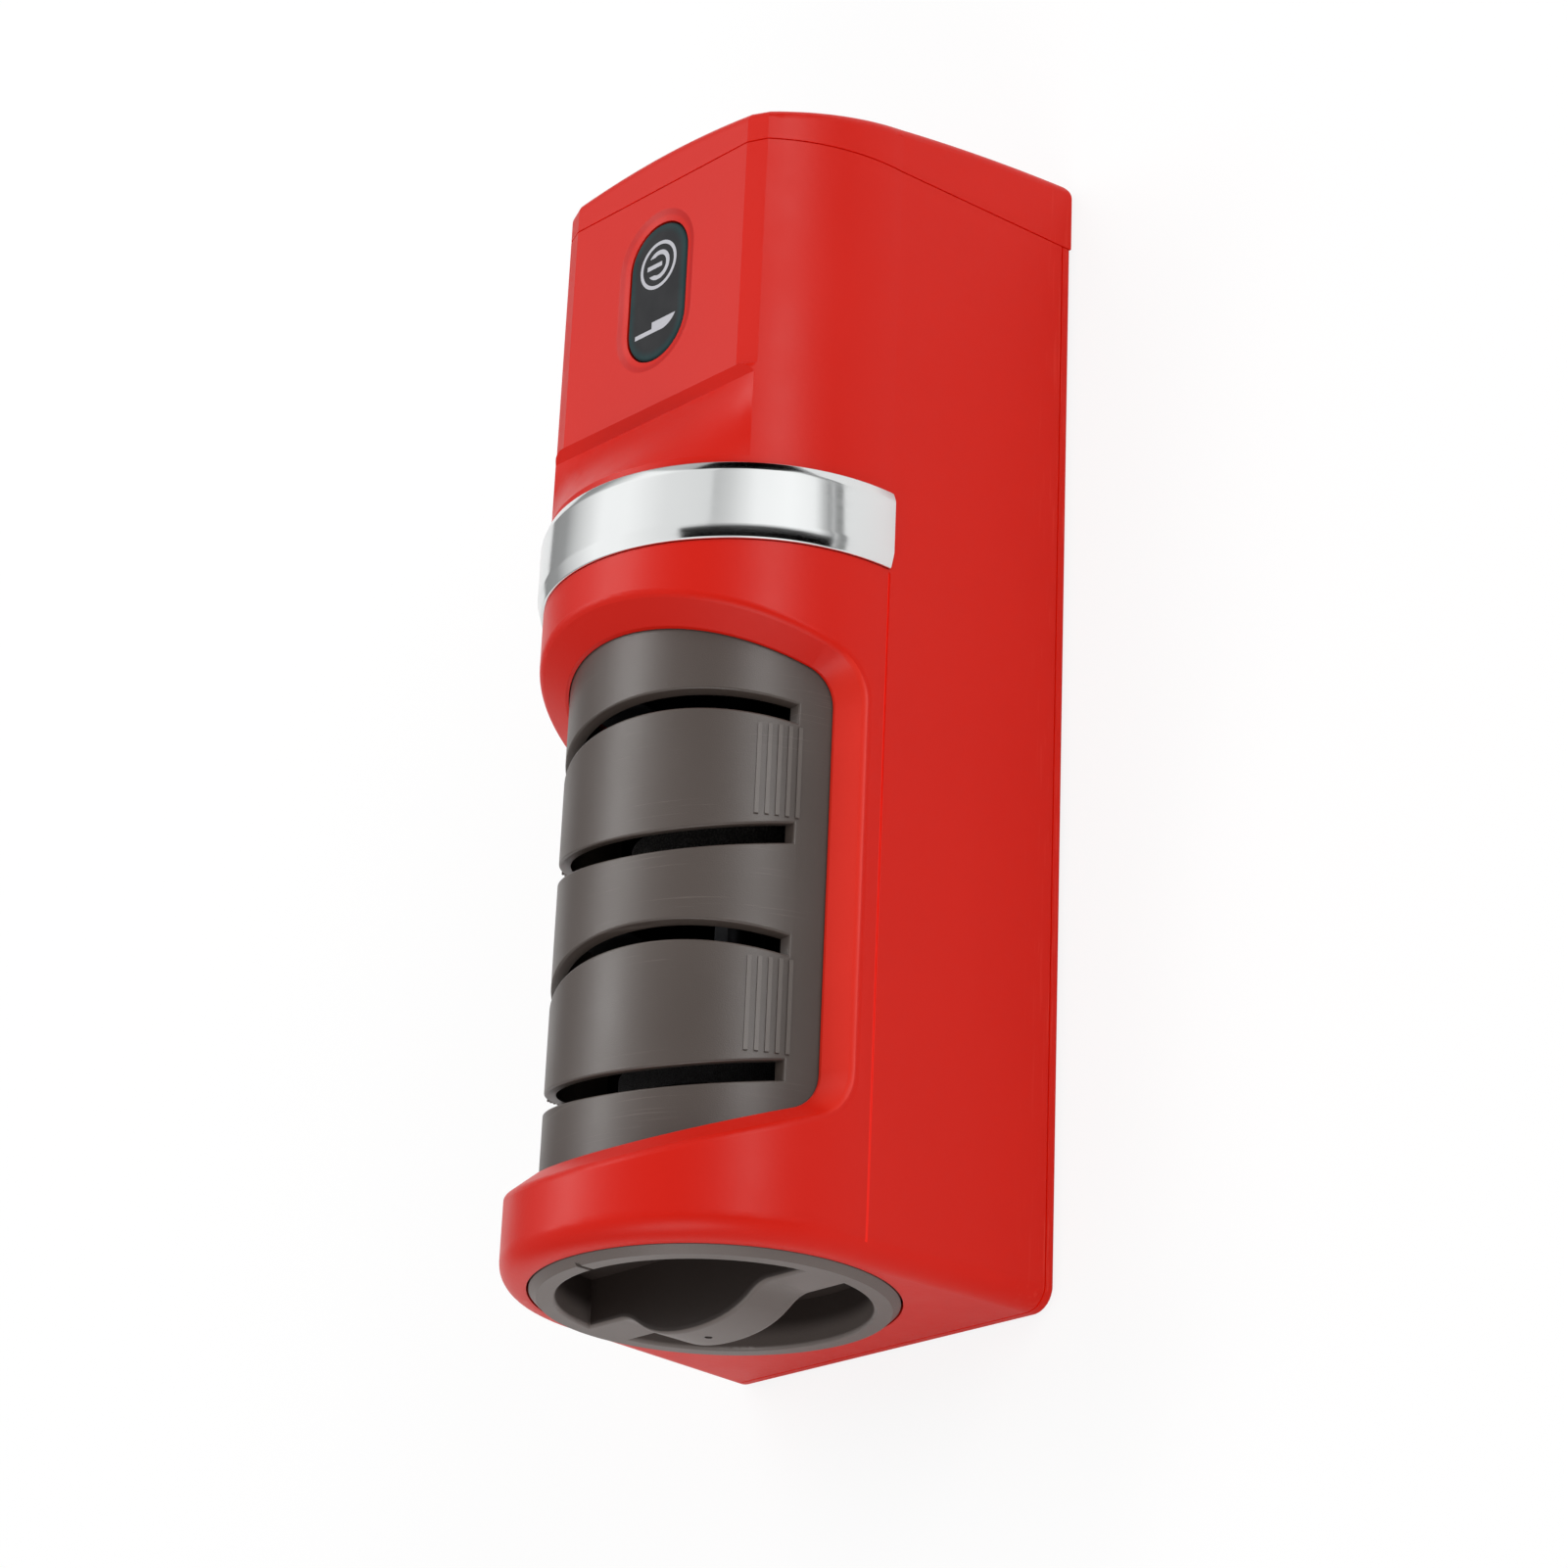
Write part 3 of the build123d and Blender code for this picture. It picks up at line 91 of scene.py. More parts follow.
# %% Sockets that calculate
class Wire:
    """An output socket that can be added, multiplied and compared like a number."""

    def __init__(self, graph, socket):
        self.graph = graph
        self.socket = socket

    def math(self, operation, *values):
        return self.graph.add("Math", {"operation": operation}, *values)

    def __add__(self, other):
        return self.math("ADD", self, other)

    def __sub__(self, other):
        return self.math("SUBTRACT", self, other)

    def __rsub__(self, other):
        return self.math("SUBTRACT", other, self)

    def __mul__(self, other):
        return self.math("MULTIPLY", self, other)

    def __truediv__(self, other):
        return self.math("DIVIDE", self, other)

    def __rtruediv__(self, other):
        return self.math("DIVIDE", other, self)

    def __gt__(self, other):
        return self.math("GREATER_THAN", self, other)

    def __lt__(self, other):
        return self.math("LESS_THAN", self, other)

    def __abs__(self):
        return self.math("ABSOLUTE", self)

    def root(self):
        return self.math("SQRT", self)

    def most(self, other):
        """the larger of two, which joins two masks"""
        return self.math("MAXIMUM", self, other)

    __radd__ = __add__
    __rmul__ = __mul__


# %% [markdown]
# The next helper keeps the nodes of one material or of the world. `add` takes a node's type, its
# settings, and the values or wires of its sockets, in order or by name, and gives back its
# output as a wire. The rest are short names for the nodes that almost every finish needs.

# %% A graph of nodes
MIX_SKIPPED = 5  # sockets of a Mix node between its factor and its two colours
MIX_COLOR = 2  # its output that carries a colour
NOISE_SPAN = (0.3, 0.7)  # where most of a noise pattern lies


class Graph:
    """The nodes of a material or a world."""

    def __init__(self, tree, place):
        self.tree = tree
        self.place = self.add("TexCoord", {}, out=place)

    def add(self, kind, settings, *values, out=0, **named):
        node = self.tree.nodes.new("ShaderNode" + kind)
        for key, value in settings.items():
            if key == "stops":
                self.set_stops(node.color_ramp, value)
            else:
                setattr(node, key, value)
        for index, value in enumerate(values):
            if value is not None:
                self.feed(node.inputs[index], value)
        for key, value in named.items():
            self.feed(node.inputs[key.replace("_", " ")], value)
        if out == "all":
            return [Wire(self, socket) for socket in node.outputs]
        return Wire(self, node.outputs[out])

    def set_stops(self, ramp, stops):
        while len(ramp.elements) < len(stops):
            ramp.elements.new(1.0)
        for element, (place, level) in zip(ramp.elements, stops):
            element.position = place
            element.color = (level, level, level, 1.0)

    def feed(self, socket, value):
        if isinstance(value, Wire):
            self.tree.links.new(value.socket, socket)
        elif isinstance(value, tuple) and socket.type == "RGBA" and len(value) == 3:
            socket.default_value = (*value, 1.0)
        else:
            socket.default_value = value

    def axes(self):
        """the place or direction as three numbers"""
        return self.add("SeparateXYZ", {}, self.place, out="all")

    def stretched(self, along_x, along_y, along_z):
        """the place with its axes stretched, for a grain that runs one way"""
        return self.add("Mapping", {}, self.place, Scale=(along_x, along_y, along_z))

    def noise(self, per_metre, detail=2.0, spread=0.5, place=None):
        """a cloudy pattern with so many cells in a metre"""
        cells = {"Vector": place or self.place, "Scale": per_metre}
        return self.add("TexNoise", {}, Detail=detail, Roughness=spread, **cells)

    def remap(self, wire, low, high, to_low=0.0, to_high=1.0):
        """a smooth step from one number to another while the wire goes from low to high"""
        settings = {"interpolation_type": "SMOOTHSTEP"}
        return self.add("MapRange", settings, wire, low, high, to_low, to_high)

    def vary(self, pattern, low, high):
        """a number between two others, by a noise pattern"""
        return self.remap(pattern, *NOISE_SPAN, low, high)

    def tint(self, mask, color_a, color_b):
        """the first colour where the mask is 0 and the second where it is 1"""
        skipped = [None] * MIX_SKIPPED
        settings = {"data_type": "RGBA"}
        return self.add("Mix", settings, mask, *skipped, color_a, color_b, out=MIX_COLOR)


# %% A finish is a graph with a surface
class Finish(Graph):
    """A material with a Principled surface, built node by node."""

    def __init__(self, name, color, roughness=0.4, **constants):
        self.material = bpy.data.materials.new(name)
        self.material.use_nodes = True
        super().__init__(self.material.node_tree, "Object")
        self.surface = self.tree.nodes["Principled BSDF"]
        self.set("Base Color", color)
        self.set("Roughness", roughness)
        for socket, value in constants.items():
            self.set(socket.replace("_", " "), value)

    def set(self, socket, value):
        self.feed(self.surface.inputs[socket], value)

    def bump(self, height, depth, strength=1.0):
        """a relief that is so many metres deep where the height goes from 0 to 1"""
        relief = {"Height": height, "Distance": depth, "Strength": strength}
        self.set("Normal", self.add("Bump", {}, out="Normal", **relief))


def rgb(red, green, blue):
    """a screen colour, 0 to 255, as the linear values that a shader wants"""
    values = [channel / 255 for channel in (red, green, blue)]
    return tuple(v / 12.92 if v <= 0.04045 else ((v + 0.055) / 1.055) ** 2.4 for v in values)


def distance(across, along):
    """how far a place is from a line, by its two distances square to the line"""
    return (across * across + along * along).root()


MID_GREY = (128, 128, 128)
print("a mid grey of 128 is", round(rgb(*MID_GREY)[0], 3), "to the shader")

# %% [markdown]
# ## Floor
# The body is shown on plain white. The floor is ordinary white paper, mixed with its own light
# for the camera only, so that it reads as white and still keeps the soft shadow of the body. In a
# mirror the table is a touch darker, and beyond its front edge it is dark and grows lighter again
# far away: polished metal needs such a tone.

# %% Floor
FLOOR_SIZE = 6.0
FLOOR_GLOW = 0.85
PAPER_WHITE = (244, 244, 244)
WHITE = (1.0, 1.0, 1.0)
TABLE_EDGE = -0.34
TABLE_EDGE_WIDTH = 0.03
TABLE_FAR = -1.5
TABLE_SHADE = 0.26
NEAR_SHARE = 0.15  # how much of the shade lies on the table itself
FAR_SHARE = 0.25  # how much of the rest is left far away
bpy.ops.mesh.primitive_plane_add(size=FLOOR_SIZE, location=(0, 0, 0))
floor = bpy.context.object
floor.name = "floor"
paper = Finish("floor_paper", rgb(*PAPER_WHITE), 0.9, Specular_IOR_Level=0.0)
seen = paper.add("LightPath", {}, out="Is Camera Ray")
glow = paper.add("Emission", {}, WHITE, 1.0)
dull = Wire(paper, paper.surface.outputs[0])
lit_paper = paper.add("MixShader", {}, seen * FLOOR_GLOW, dull, glow)
floor.data.materials.append(paper.material)
print("floor glow", FLOOR_GLOW)

# %% The table in a mirror
across = paper.axes()[1]
past_edge = paper.remap(across, TABLE_EDGE, TABLE_EDGE - TABLE_EDGE_WIDTH)
nearness = paper.remap(across, TABLE_FAR, TABLE_EDGE, FAR_SHARE, 1.0)
mirror = paper.add("LightPath", {}, out="Is Glossy Ray")
share = past_edge * nearness * (1 - NEAR_SHARE) + NEAR_SHARE
shade = paper.add("Emission", {}, WHITE, TABLE_SHADE)
mixed = paper.add("MixShader", {}, mirror * share, lit_paper, shade)
paper.feed(paper.tree.nodes["Material Output"].inputs["Surface"], mixed)
print("table edge at y", TABLE_EDGE)

# %% [markdown]
# ## Light tent
# The world is a white tent. What it gives depends on who looks. The camera sees pure white, and
# dull surfaces are lit by an even light. A mirror-like surface sees the walls of the tent, which
# grow lighter and darker from the floor behind the body, over the top, and down to the front, so
# that polished metal gets its soft bands of tone. The numbers of the ramp go over that half
# circle from 0 to 1.

# %% The tent in a mirror
TENT_LIGHT = 0.47
TENT_PEAK = 1.2
TENT_WALLS = (
    (0.0, 0.26), (0.09, 0.30), (0.15, 0.55), (0.27, 0.93), (0.37, 0.93), (0.5, 0.76),
    (0.64, 0.70), (0.65, 0.50), (0.70, 0.62), (0.78, 0.92), (0.88, 0.98), (0.96, 0.90),
    (0.99, 0.46),
)
world = bpy.data.worlds.new("light_tent")
bpy.context.scene.world = world
world.use_nodes = True
tent = Graph(world.node_tree, "Generated")
toward_x, toward_y, toward_z = tent.axes()
over = toward_z.math("ARCTAN2", toward_z, toward_y) / math.pi
walls = tent.add("ValToRGB", {"stops": TENT_WALLS}, over) * TENT_PEAK
print("wall tones", len(TENT_WALLS))

# %% [markdown]
# In a studio, black cards hang beside polished metal, to draw a crisp dark line along its rim.
# One card here is an arch over the front, which only the sloping edge of the chrome towards the
# knob looks into. The other hangs beyond the button end, for the opposite edge, and thins to a
# grey veil towards the far side. A card is a mask on the direction, 1 where it hangs.

# %% Black cards
ARCH_CARD_X = (-0.40, -0.01)
ARCH_CARD_Y = -0.16
END_CARD_X = 0.86
END_CARD_Y = (-0.47, 0.03)
END_CARD_VEIL = 0.5
CARD_SOFTNESS = 0.05
CARD_BLACK = 1.0
from_left = tent.remap(toward_x, ARCH_CARD_X[0], ARCH_CARD_X[0] + CARD_SOFTNESS)
from_right = tent.remap(toward_x, ARCH_CARD_X[1], ARCH_CARD_X[1] - CARD_SOFTNESS)
from_front = tent.remap(toward_y, ARCH_CARD_Y, ARCH_CARD_Y - CARD_SOFTNESS)
arch_card = from_left * from_right * from_front
beyond_end = tent.remap(toward_x, END_CARD_X, END_CARD_X + CARD_SOFTNESS / 2)
from_near = tent.remap(toward_y, END_CARD_Y[0], END_CARD_Y[0] + CARD_SOFTNESS)
from_far = tent.remap(toward_y, END_CARD_Y[1], END_CARD_Y[1] - CARD_SOFTNESS)
end_card = beyond_end * from_near * (from_far * (1 - END_CARD_VEIL) + END_CARD_VEIL)
walls = walls * (1 - arch_card * CARD_BLACK) * (1 - end_card * CARD_BLACK)
print("arch card between", ARCH_CARD_X)

# %% Who sees what
mirror = tent.add("LightPath", {}, out="Is Glossy Ray")
camera_ray = tent.add("LightPath", {}, out="Is Camera Ray")
strength = (walls - TENT_LIGHT) * mirror + camera_ray * (1 - TENT_LIGHT) + TENT_LIGHT
background = tent.tree.nodes["Background"]
tent.feed(background.inputs["Strength"], strength)
tent.feed(background.inputs["Color"], WHITE)
print("tent light", TENT_LIGHT)

# %% [markdown]
# ## Lamps
# Long softboxes give the body its form. One hangs high behind the far side and puts the broad
# highlight along the crown. One stands low on the near side and puts a second one along the
# shoulder, with the pure colour between them. A weaker one lights the knob end. Each is placed by
# its direction from the body: an angle around it and an angle above the floor.

# %% Lamps
LAMP_DISTANCE = 1.5


def softbox(name, around, above, width, height, power):
    """a soft rectangular lamp, by its direction from the body in degrees and its size"""
    turn, rise = math.radians(around), math.radians(above)
    level = math.cos(rise)
    towards = Vector((math.cos(turn) * level, math.sin(turn) * level, math.sin(rise)))
    bpy.ops.object.light_add(type="AREA", location=towards * LAMP_DISTANCE)
    lamp = bpy.context.object
    lamp.name = name
    lamp.data.shape = "RECTANGLE"
    lamp.data.size = width
    lamp.data.size_y = height
    lamp.data.energy = power
    lamp.rotation_euler = towards.to_track_quat("Z", "Y").to_euler()
    return lamp


lamps = [
    softbox("far_box", 54, 53, 1.3, 0.36, 10.4),
    softbox("near_box", -60, 27, 1.3, 0.32, 9.2),
    softbox("knob_box", -168, 32, 0.9, 0.6, 7.0),
]
print("lamps", len(lamps))

# %% [markdown]
# The lamps would show as hard white rectangles in the chrome, where a real studio has silk hung
# in front of them. Light linking does the same job: the lamps pass the chrome by, and it shows
# only the soft walls of the tent.

# %% Lamps that pass a piece by
def pass_by(lamp, piece):
    """the lamp doesn't light this piece"""
    spared = bpy.data.collections.new(lamp.name + "_spares")
    spared.objects.link(piece)
    lamp.light_linking.receiver_collection = spared
    spared.collection_objects[0].light_linking.link_state = "EXCLUDE"


# %% [markdown]
# ## Red shell
# The shell is moulded in a red plastic with a satin sheen. The colour is the same right through,
# so there is no paint to chip. What the eye reads as plastic is the soft highlight, broken by a
# very shallow orange-peel and by faint differences in gloss from handling. Some places differ
# from the rest, and each gets a mask: a number that is 1 there and 0 elsewhere, worked out from
# the place on the body. The first is the inside, which is painted dark: painted shade, so that
# nothing glows through the blade slots. Above the arch's axis it is a circle, and below it lies
# between leaning walls.

# %% Inside of the shell, in painted shade
SHELL_RED = (197, 21, 3)
AXIS_HEIGHT = 0.0415
ARCH_RADIUS = 0.036
SIDE_LEAN = 3.1 / 40.5
WALL_DEPTH = 0.0012
INNER_RADIUS = 0.0303
INNER_FLOOR = 0.0039
ROOM_X = (-0.1048, 0.0117)
red_shell = Finish("red_shell", rgb(*SHELL_RED), 0.38, IOR=1.27)
x, y, z = red_shell.axes()
above_axis = z - AXIS_HEIGHT
from_axis = distance(y, above_axis)
between_walls = abs(y) < ARCH_RADIUS - WALL_DEPTH - above_axis * SIDE_LEAN
low = between_walls * (above_axis < 0) * (z > INNER_FLOOR)
high = (from_axis < INNER_RADIUS) * (above_axis > 0)
along_room = (x > ROOM_X[0]) * (x < ROOM_X[1])
# the dark colour given to the inside is painted shade
inside = (low + high) * along_room
print("dark inside, along x", ROOM_X)

# %% [markdown]
# Each seam is a groove, and its walls get a brighter red than the shell: painted light, which
# lifts the shade inside the groove.
# One runs round the end cap and one along the base plate, and a fine line marks each side at the
# foot of the arch. The housing's box tells where the first two are.

# %% Seams, in painted light
SEAM_WIDTH = 0.0003
SEAM_MARGIN = 0.00002
SIDE_LINE_HALF = 0.00026
SIDE_LINE_DEPTH = 0.00023
seam_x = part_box("housing")[1][0]
seam_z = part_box("housing")[0][2]
before_cap = x < seam_x
end_seam = (x > seam_x - SEAM_MARGIN) * (x < seam_x + SEAM_WIDTH + SEAM_MARGIN)
plate_seam = (z > seam_z - SEAM_WIDTH - SEAM_MARGIN) * (z < seam_z + SEAM_MARGIN) * before_cap
in_line = (abs(y) < ARCH_RADIUS - SEAM_MARGIN) * (abs(y) > ARCH_RADIUS - SIDE_LINE_DEPTH)
side_seam = in_line * (abs(above_axis) < SIDE_LINE_HALF) * before_cap
# the brighter red in the seam grooves is painted light against their shade
lit_seams = end_seam.most(plate_seam).most(side_seam)
print("seams at x", round(seam_x, 4), "and z", round(seam_z, 4))

# %% [markdown]
# Use leaves its marks too: near the floor there are fine scuffs that run along the body, from
# being pushed about a worktop. The lower slope of the window frame is painted a paler red, a
# painted highlight, and the creased ring round the button's dish a darker red, painted shade.

# %% Distance from the button
BUTTON_X = 0.0743
BUTTON_STRAIGHT = 0.00625
BUTTON_HALF_WIDTH = 0.00745


def from_button(x, y):
    """how far a place is from the middle line of the oval button"""
    beyond = abs(x - BUTTON_X) - BUTTON_STRAIGHT
    beyond = beyond * (beyond > 0)
    return distance(beyond, y)


# %% Scuffs, painted highlight and painted shade of the shell
SLOPE_DEPTH = 0.0002
SLOPE_FOOT = 0.001
SLOPE_HIGHLIGHT_REACH = 0.18
SLOPE_HIGHLIGHT_HEIGHTS = (0.0095, 0.0065)
CREASE_RADII = (0.0084, 0.0091, 0.0096, 0.0101)
CREASE_LOWEST = 0.06
SCUFF_HEIGHT = 0.012
SCUFF_SPAN = (0.56, 0.66)
on_slope = (from_axis < ARCH_RADIUS - SLOPE_DEPTH) * (from_axis > INNER_RADIUS)
on_slope = on_slope * (above_axis > SLOPE_FOOT) * along_room * (x > seam_x - SLOPE_HIGHLIGHT_REACH)
# the paler red of the lower slope is a painted highlight
slope_highlight = on_slope * red_shell.remap(above_axis, *SLOPE_HIGHLIGHT_HEIGHTS)
around = from_button(x, y)
# the darker red in the ring round the button's dish is painted shade
crease_shade = red_shell.remap(around, CREASE_RADII[0], CREASE_RADII[1]) * (z > CREASE_LOWEST)
crease_shade = crease_shade * red_shell.remap(around, CREASE_RADII[3], CREASE_RADII[2])
scuffs = red_shell.noise(1.0, 3.0, 0.6, red_shell.stretched(60.0, 1400.0, 1400.0))
scuffed = red_shell.remap(scuffs, *SCUFF_SPAN) * red_shell.remap(z, SCUFF_HEIGHT, 0.0)
print("scuffs up to", SCUFF_HEIGHT)

# %% Red shell finish
SCUFF_RED = (214, 66, 52)
# painted shade in the ring round the button's dish
CREASE_SHADE_RED = (181, 11, 1)
# painted highlight on the lower slope of the window frame
SLOPE_HIGHLIGHT_RED = (209, 40, 26)
# painted light in the seam grooves
SEAM_LIGHT_RED = (228, 28, 9)
# painted shade on the inside of the shell
SHELL_INSIDE_SHADE = (24, 23, 23)
SHELL_TONES = (rgb(194, 20, 3), rgb(200, 23, 4))
SHELL_ROUGHNESS = (0.34, 0.43)
PEEL_DEPTH = 0.00004
cloud = red_shell.noise(26.0, 3.0)
handling = red_shell.noise(140.0, 4.0, 0.6)
peel = red_shell.noise(900.0, 2.0)
grain = red_shell.noise(4200.0, 1.0)
red = red_shell.tint(cloud, *SHELL_TONES)
# among these layers only the scuffs are wear; the rest are painted light and painted shade
layers = [(scuffed * 0.35, SCUFF_RED), (crease_shade, CREASE_SHADE_RED), (slope_highlight, SLOPE_HIGHLIGHT_RED),
          (lit_seams, SEAM_LIGHT_RED), (inside, SHELL_INSIDE_SHADE)]
for mask, layer in layers:
    red = red_shell.tint(mask, red, rgb(*layer))
red_shell.set("Base Color", red)
gloss = red_shell.vary(cloud * 0.6 + handling * 0.4, *SHELL_ROUGHNESS)
red_shell.set("Roughness", gloss + scuffed * 0.15)
red_shell.bump(peel * 0.7 + grain * 0.3, PEEL_DEPTH, 0.6)
print("layers over the red", len(layers))

# %% [markdown]
# ## Dark satin plastic
# The slot cover is a warm dark grey plastic with a finer grain than the shell. Blades pass over
# it all day, so it carries short pale scratches along the slots' direction, across the body. The
# tops of its fine grip ribs are painted paler: a painted highlight. Their distance from the
# middle of the arch tells them from the rest.

# %% Slot cover finish
COVER_RADIUS = 0.0304
RIB_RISE = (0.0001, 0.0003)
COVER_TONES = (rgb(65, 56, 51), rgb(71, 62, 57))
# painted highlight on the rib tops
RIB_HIGHLIGHT_GREY = (94, 87, 82)
COVER_SCRATCH = (118, 108, 103)
COVER_ROUGHNESS = (0.34, 0.42)
COVER_GRAIN = 0.00004
SCRATCH_SPAN = (0.6, 0.68)
SCRATCHED_AREA = (0.45, 0.6)
cover_plastic = Finish("cover_plastic", rgb(68, 59, 54), 0.38, IOR=1.45)
cloud = cover_plastic.noise(40.0, 3.0)
spark = cover_plastic.noise(5200.0, 2.0)
scratches = cover_plastic.noise(1.0, 4.0, 0.65, cover_plastic.stretched(2600.0, 45.0, 45.0))
scratched = cover_plastic.remap(scratches, *SCRATCH_SPAN)
scratched = scratched * cover_plastic.remap(cloud, *SCRATCHED_AREA)
y, z = cover_plastic.axes()[1:]
reach = distance(y, z - AXIS_HEIGHT)
# the paler tops of the ribs are a painted highlight
rib_highlight = cover_plastic.remap(reach, COVER_RADIUS + RIB_RISE[0], COVER_RADIUS + RIB_RISE[1])
grey = cover_plastic.tint(cloud, *COVER_TONES)
grey = cover_plastic.tint(rib_highlight * 0.5, grey, rgb(*RIB_HIGHLIGHT_GREY))
grey = cover_plastic.tint(scratched * 0.25, grey, rgb(*COVER_SCRATCH))
cover_plastic.set("Base Color", grey)
cover_plastic.set("Roughness", cover_plastic.vary(cloud, *COVER_ROUGHNESS))
cover_plastic.bump(spark, COVER_GRAIN, 0.5)
print("rib tops from", COVER_RADIUS + RIB_RISE[0])

# %% [markdown]
# The knob is the same plastic, smoother on its face and grip, where fingers polish it, and
# painted paler there than the cover: a painted highlight. Its two pockets are painted dark and
# rougher: painted shade. A pocket is told by its depth, and its walls by their slope: they don't
# face out of the knob's end.

# %% Knob finish
POCKET_TOP = -0.1058
POCKET_FLOOR = -0.1025
POCKET_RADIUS = 0.0262
# painted shade in the knob's pockets
POCKET_SHADE = (38, 29, 25)
# painted highlight: the knob's paler tone
KNOB_HIGHLIGHT_TONES = (rgb(90, 81, 77), rgb(102, 93, 89))
KNOB_ROUGHNESS = (0.38, 0.46)
KNOB_GRAIN = 0.00005
WALL_SLOPES = (-0.75, -0.45)
knob_plastic = Finish("knob_plastic", rgb(96, 87, 83), 0.42, IOR=1.4)
cloud = knob_plastic.noise(60.0, 3.0)
spark = knob_plastic.noise(4200.0, 2.0)
x, y, z = knob_plastic.axes()
reach = distance(y, z - AXIS_HEIGHT)
slope_x = knob_plastic.add("SeparateXYZ", {}, knob_plastic.add("TexCoord", {}, out="Normal"))
wall = knob_plastic.remap(slope_x, *WALL_SLOPES) * (reach < POCKET_RADIUS)
# the pockets' dark colour is painted shade
deep = wall.most(knob_plastic.remap(x, POCKET_TOP, POCKET_FLOOR))
# the knob's paler tone is a painted highlight
knob_highlight_tone = knob_plastic.tint(cloud, *KNOB_HIGHLIGHT_TONES)
knob_plastic.set("Base Color", knob_plastic.tint(deep, knob_highlight_tone, rgb(*POCKET_SHADE)))
knob_plastic.set("Roughness", knob_plastic.vary(cloud, *KNOB_ROUGHNESS) + deep * 0.2)
knob_plastic.bump(spark, KNOB_GRAIN, 0.5)
print("pockets from x", POCKET_TOP)

# %% [markdown]
# ## Button
# The button is a rubbery plastic, nearly black, with a faint blue-green cast at its rim, where the
# soft skin is thin over the core. The distance from the button's middle line gives the rim.

# %% Button finish
RIM_INNER = BUTTON_HALF_WIDTH - 0.0021
RIM_OUTER = BUTTON_HALF_WIDTH - 0.0004
RIM_GREEN = (26, 50, 52)
SKIN_TONES = (rgb(32, 33, 35), rgb(38, 39, 41))
SKIN_ROUGHNESS = (0.62, 0.72)
SKIN_GRAIN = 0.00003
button_skin = Finish("button_skin", rgb(34, 35, 37), 0.7, IOR=1.26)
x, y = button_skin.axes()[:2]
rim = button_skin.remap(from_button(x, y), RIM_INNER, RIM_OUTER)
cloud = button_skin.noise(180.0, 3.0)
skin = button_skin.tint(cloud, *SKIN_TONES)
button_skin.set("Base Color", button_skin.tint(rim, skin, rgb(*RIM_GREEN)))
button_skin.set("Roughness", button_skin.vary(cloud, *SKIN_ROUGHNESS))
button_skin.bump(button_skin.noise(3600.0, 2.0), SKIN_GRAIN, 0.5)
print("button rim", round(RIM_OUTER - RIM_INNER, 4), "wide")

# %% [markdown]
# ## Chrome
# The band is a bright metal skin over plastic. A mirror has no colour of its own, so all that the
# finish adds is a breath of haze and a few wiping marks that run round the band.

# %% Chrome finish
CHROME_TONES = (rgb(224, 226, 226), rgb(232, 234, 234))
CHROME_ROUGHNESS = (0.07, 0.15)
CHROME_WAVES = 0.000004
chrome = Finish("bright_chrome", rgb(228, 230, 230), 0.1, Metallic=1.0)
cloud = chrome.noise(50.0, 3.0)
wiping = chrome.noise(1.0, 3.0, 0.6, chrome.stretched(1500.0, 30.0, 30.0))
chrome.set("Base Color", chrome.tint(cloud, *CHROME_TONES))
chrome.set("Roughness", chrome.vary(cloud * 0.5 + wiping * 0.5, *CHROME_ROUGHNESS))
chrome.bump(chrome.noise(500.0, 2.0), CHROME_WAVES, 0.5)
print("chrome nodes", len(chrome.tree.nodes))

# %% [markdown]
# ## Abrasive cones
# The cones are coated with diamond grit in a metal bond. Each grain is a small polygon that stands
# proud by its own height, which is what a Voronoi pattern gives. The coarse stage has grains
# about twice as wide as the fine one.

# %% Abrasive finish
GRAIN_SPAN = (0.1, 0.6)
GRAIN_ROUGHNESS = (0.45, 0.8)


def grit(name, dark, light, per_metre, height):
    """a surface of packed abrasive grains"""
    finish = Finish(name, rgb(*dark), 0.6, IOR=1.6)
    cells = {"Vector": finish.place, "Scale": per_metre}
    grains = finish.add("TexVoronoi", {"feature": "F1"}, out="Distance", **cells)
    dust = finish.noise(260.0, 4.0, 0.6)
    between = finish.remap(grains * 0.6 + dust * 0.6, 0.3, 0.8)
    finish.set("Base Color", finish.tint(between, rgb(*light), rgb(*dark)))
    finish.set("Roughness", finish.remap(grains, *GRAIN_SPAN, *GRAIN_ROUGHNESS))
    finish.bump(1 - grains, height, 0.9)
    return finish


# %% [markdown]
# ## Metals, rubber and the pieces inside
# The other finishes share one recipe: a little cloudiness in tone and gloss over a fine grain,
# which for turned metal runs round the shaft. Springs and shaft are painted near black: painted
# shade, so that they stay dark behind the slots.

# %% Moulded and turned finishes
RING_DEPTH = 0.000008
RING_SHADE = 0.86


def plain(name, color, roughness, variation=0.05, per_metre=60.0, depth=0.00003, fine=3000.0,
          **constants):
    """a moulded finish: a little cloudiness in tone and gloss over a fine grain"""
    finish = Finish(name, rgb(*color), roughness, **constants)
    cloud = finish.noise(per_metre, 3.0)
    darker = tuple(channel * (1 - variation) for channel in rgb(*color))
    lighter = tuple(min(1.0, channel * (1 + variation)) for channel in rgb(*color))
    finish.set("Base Color", finish.tint(cloud, darker, lighter))
    finish.set("Roughness", finish.vary(cloud, roughness * 0.85, roughness * 1.15))
    finish.bump(finish.noise(fine, 2.0), depth, 0.6)
    return finish


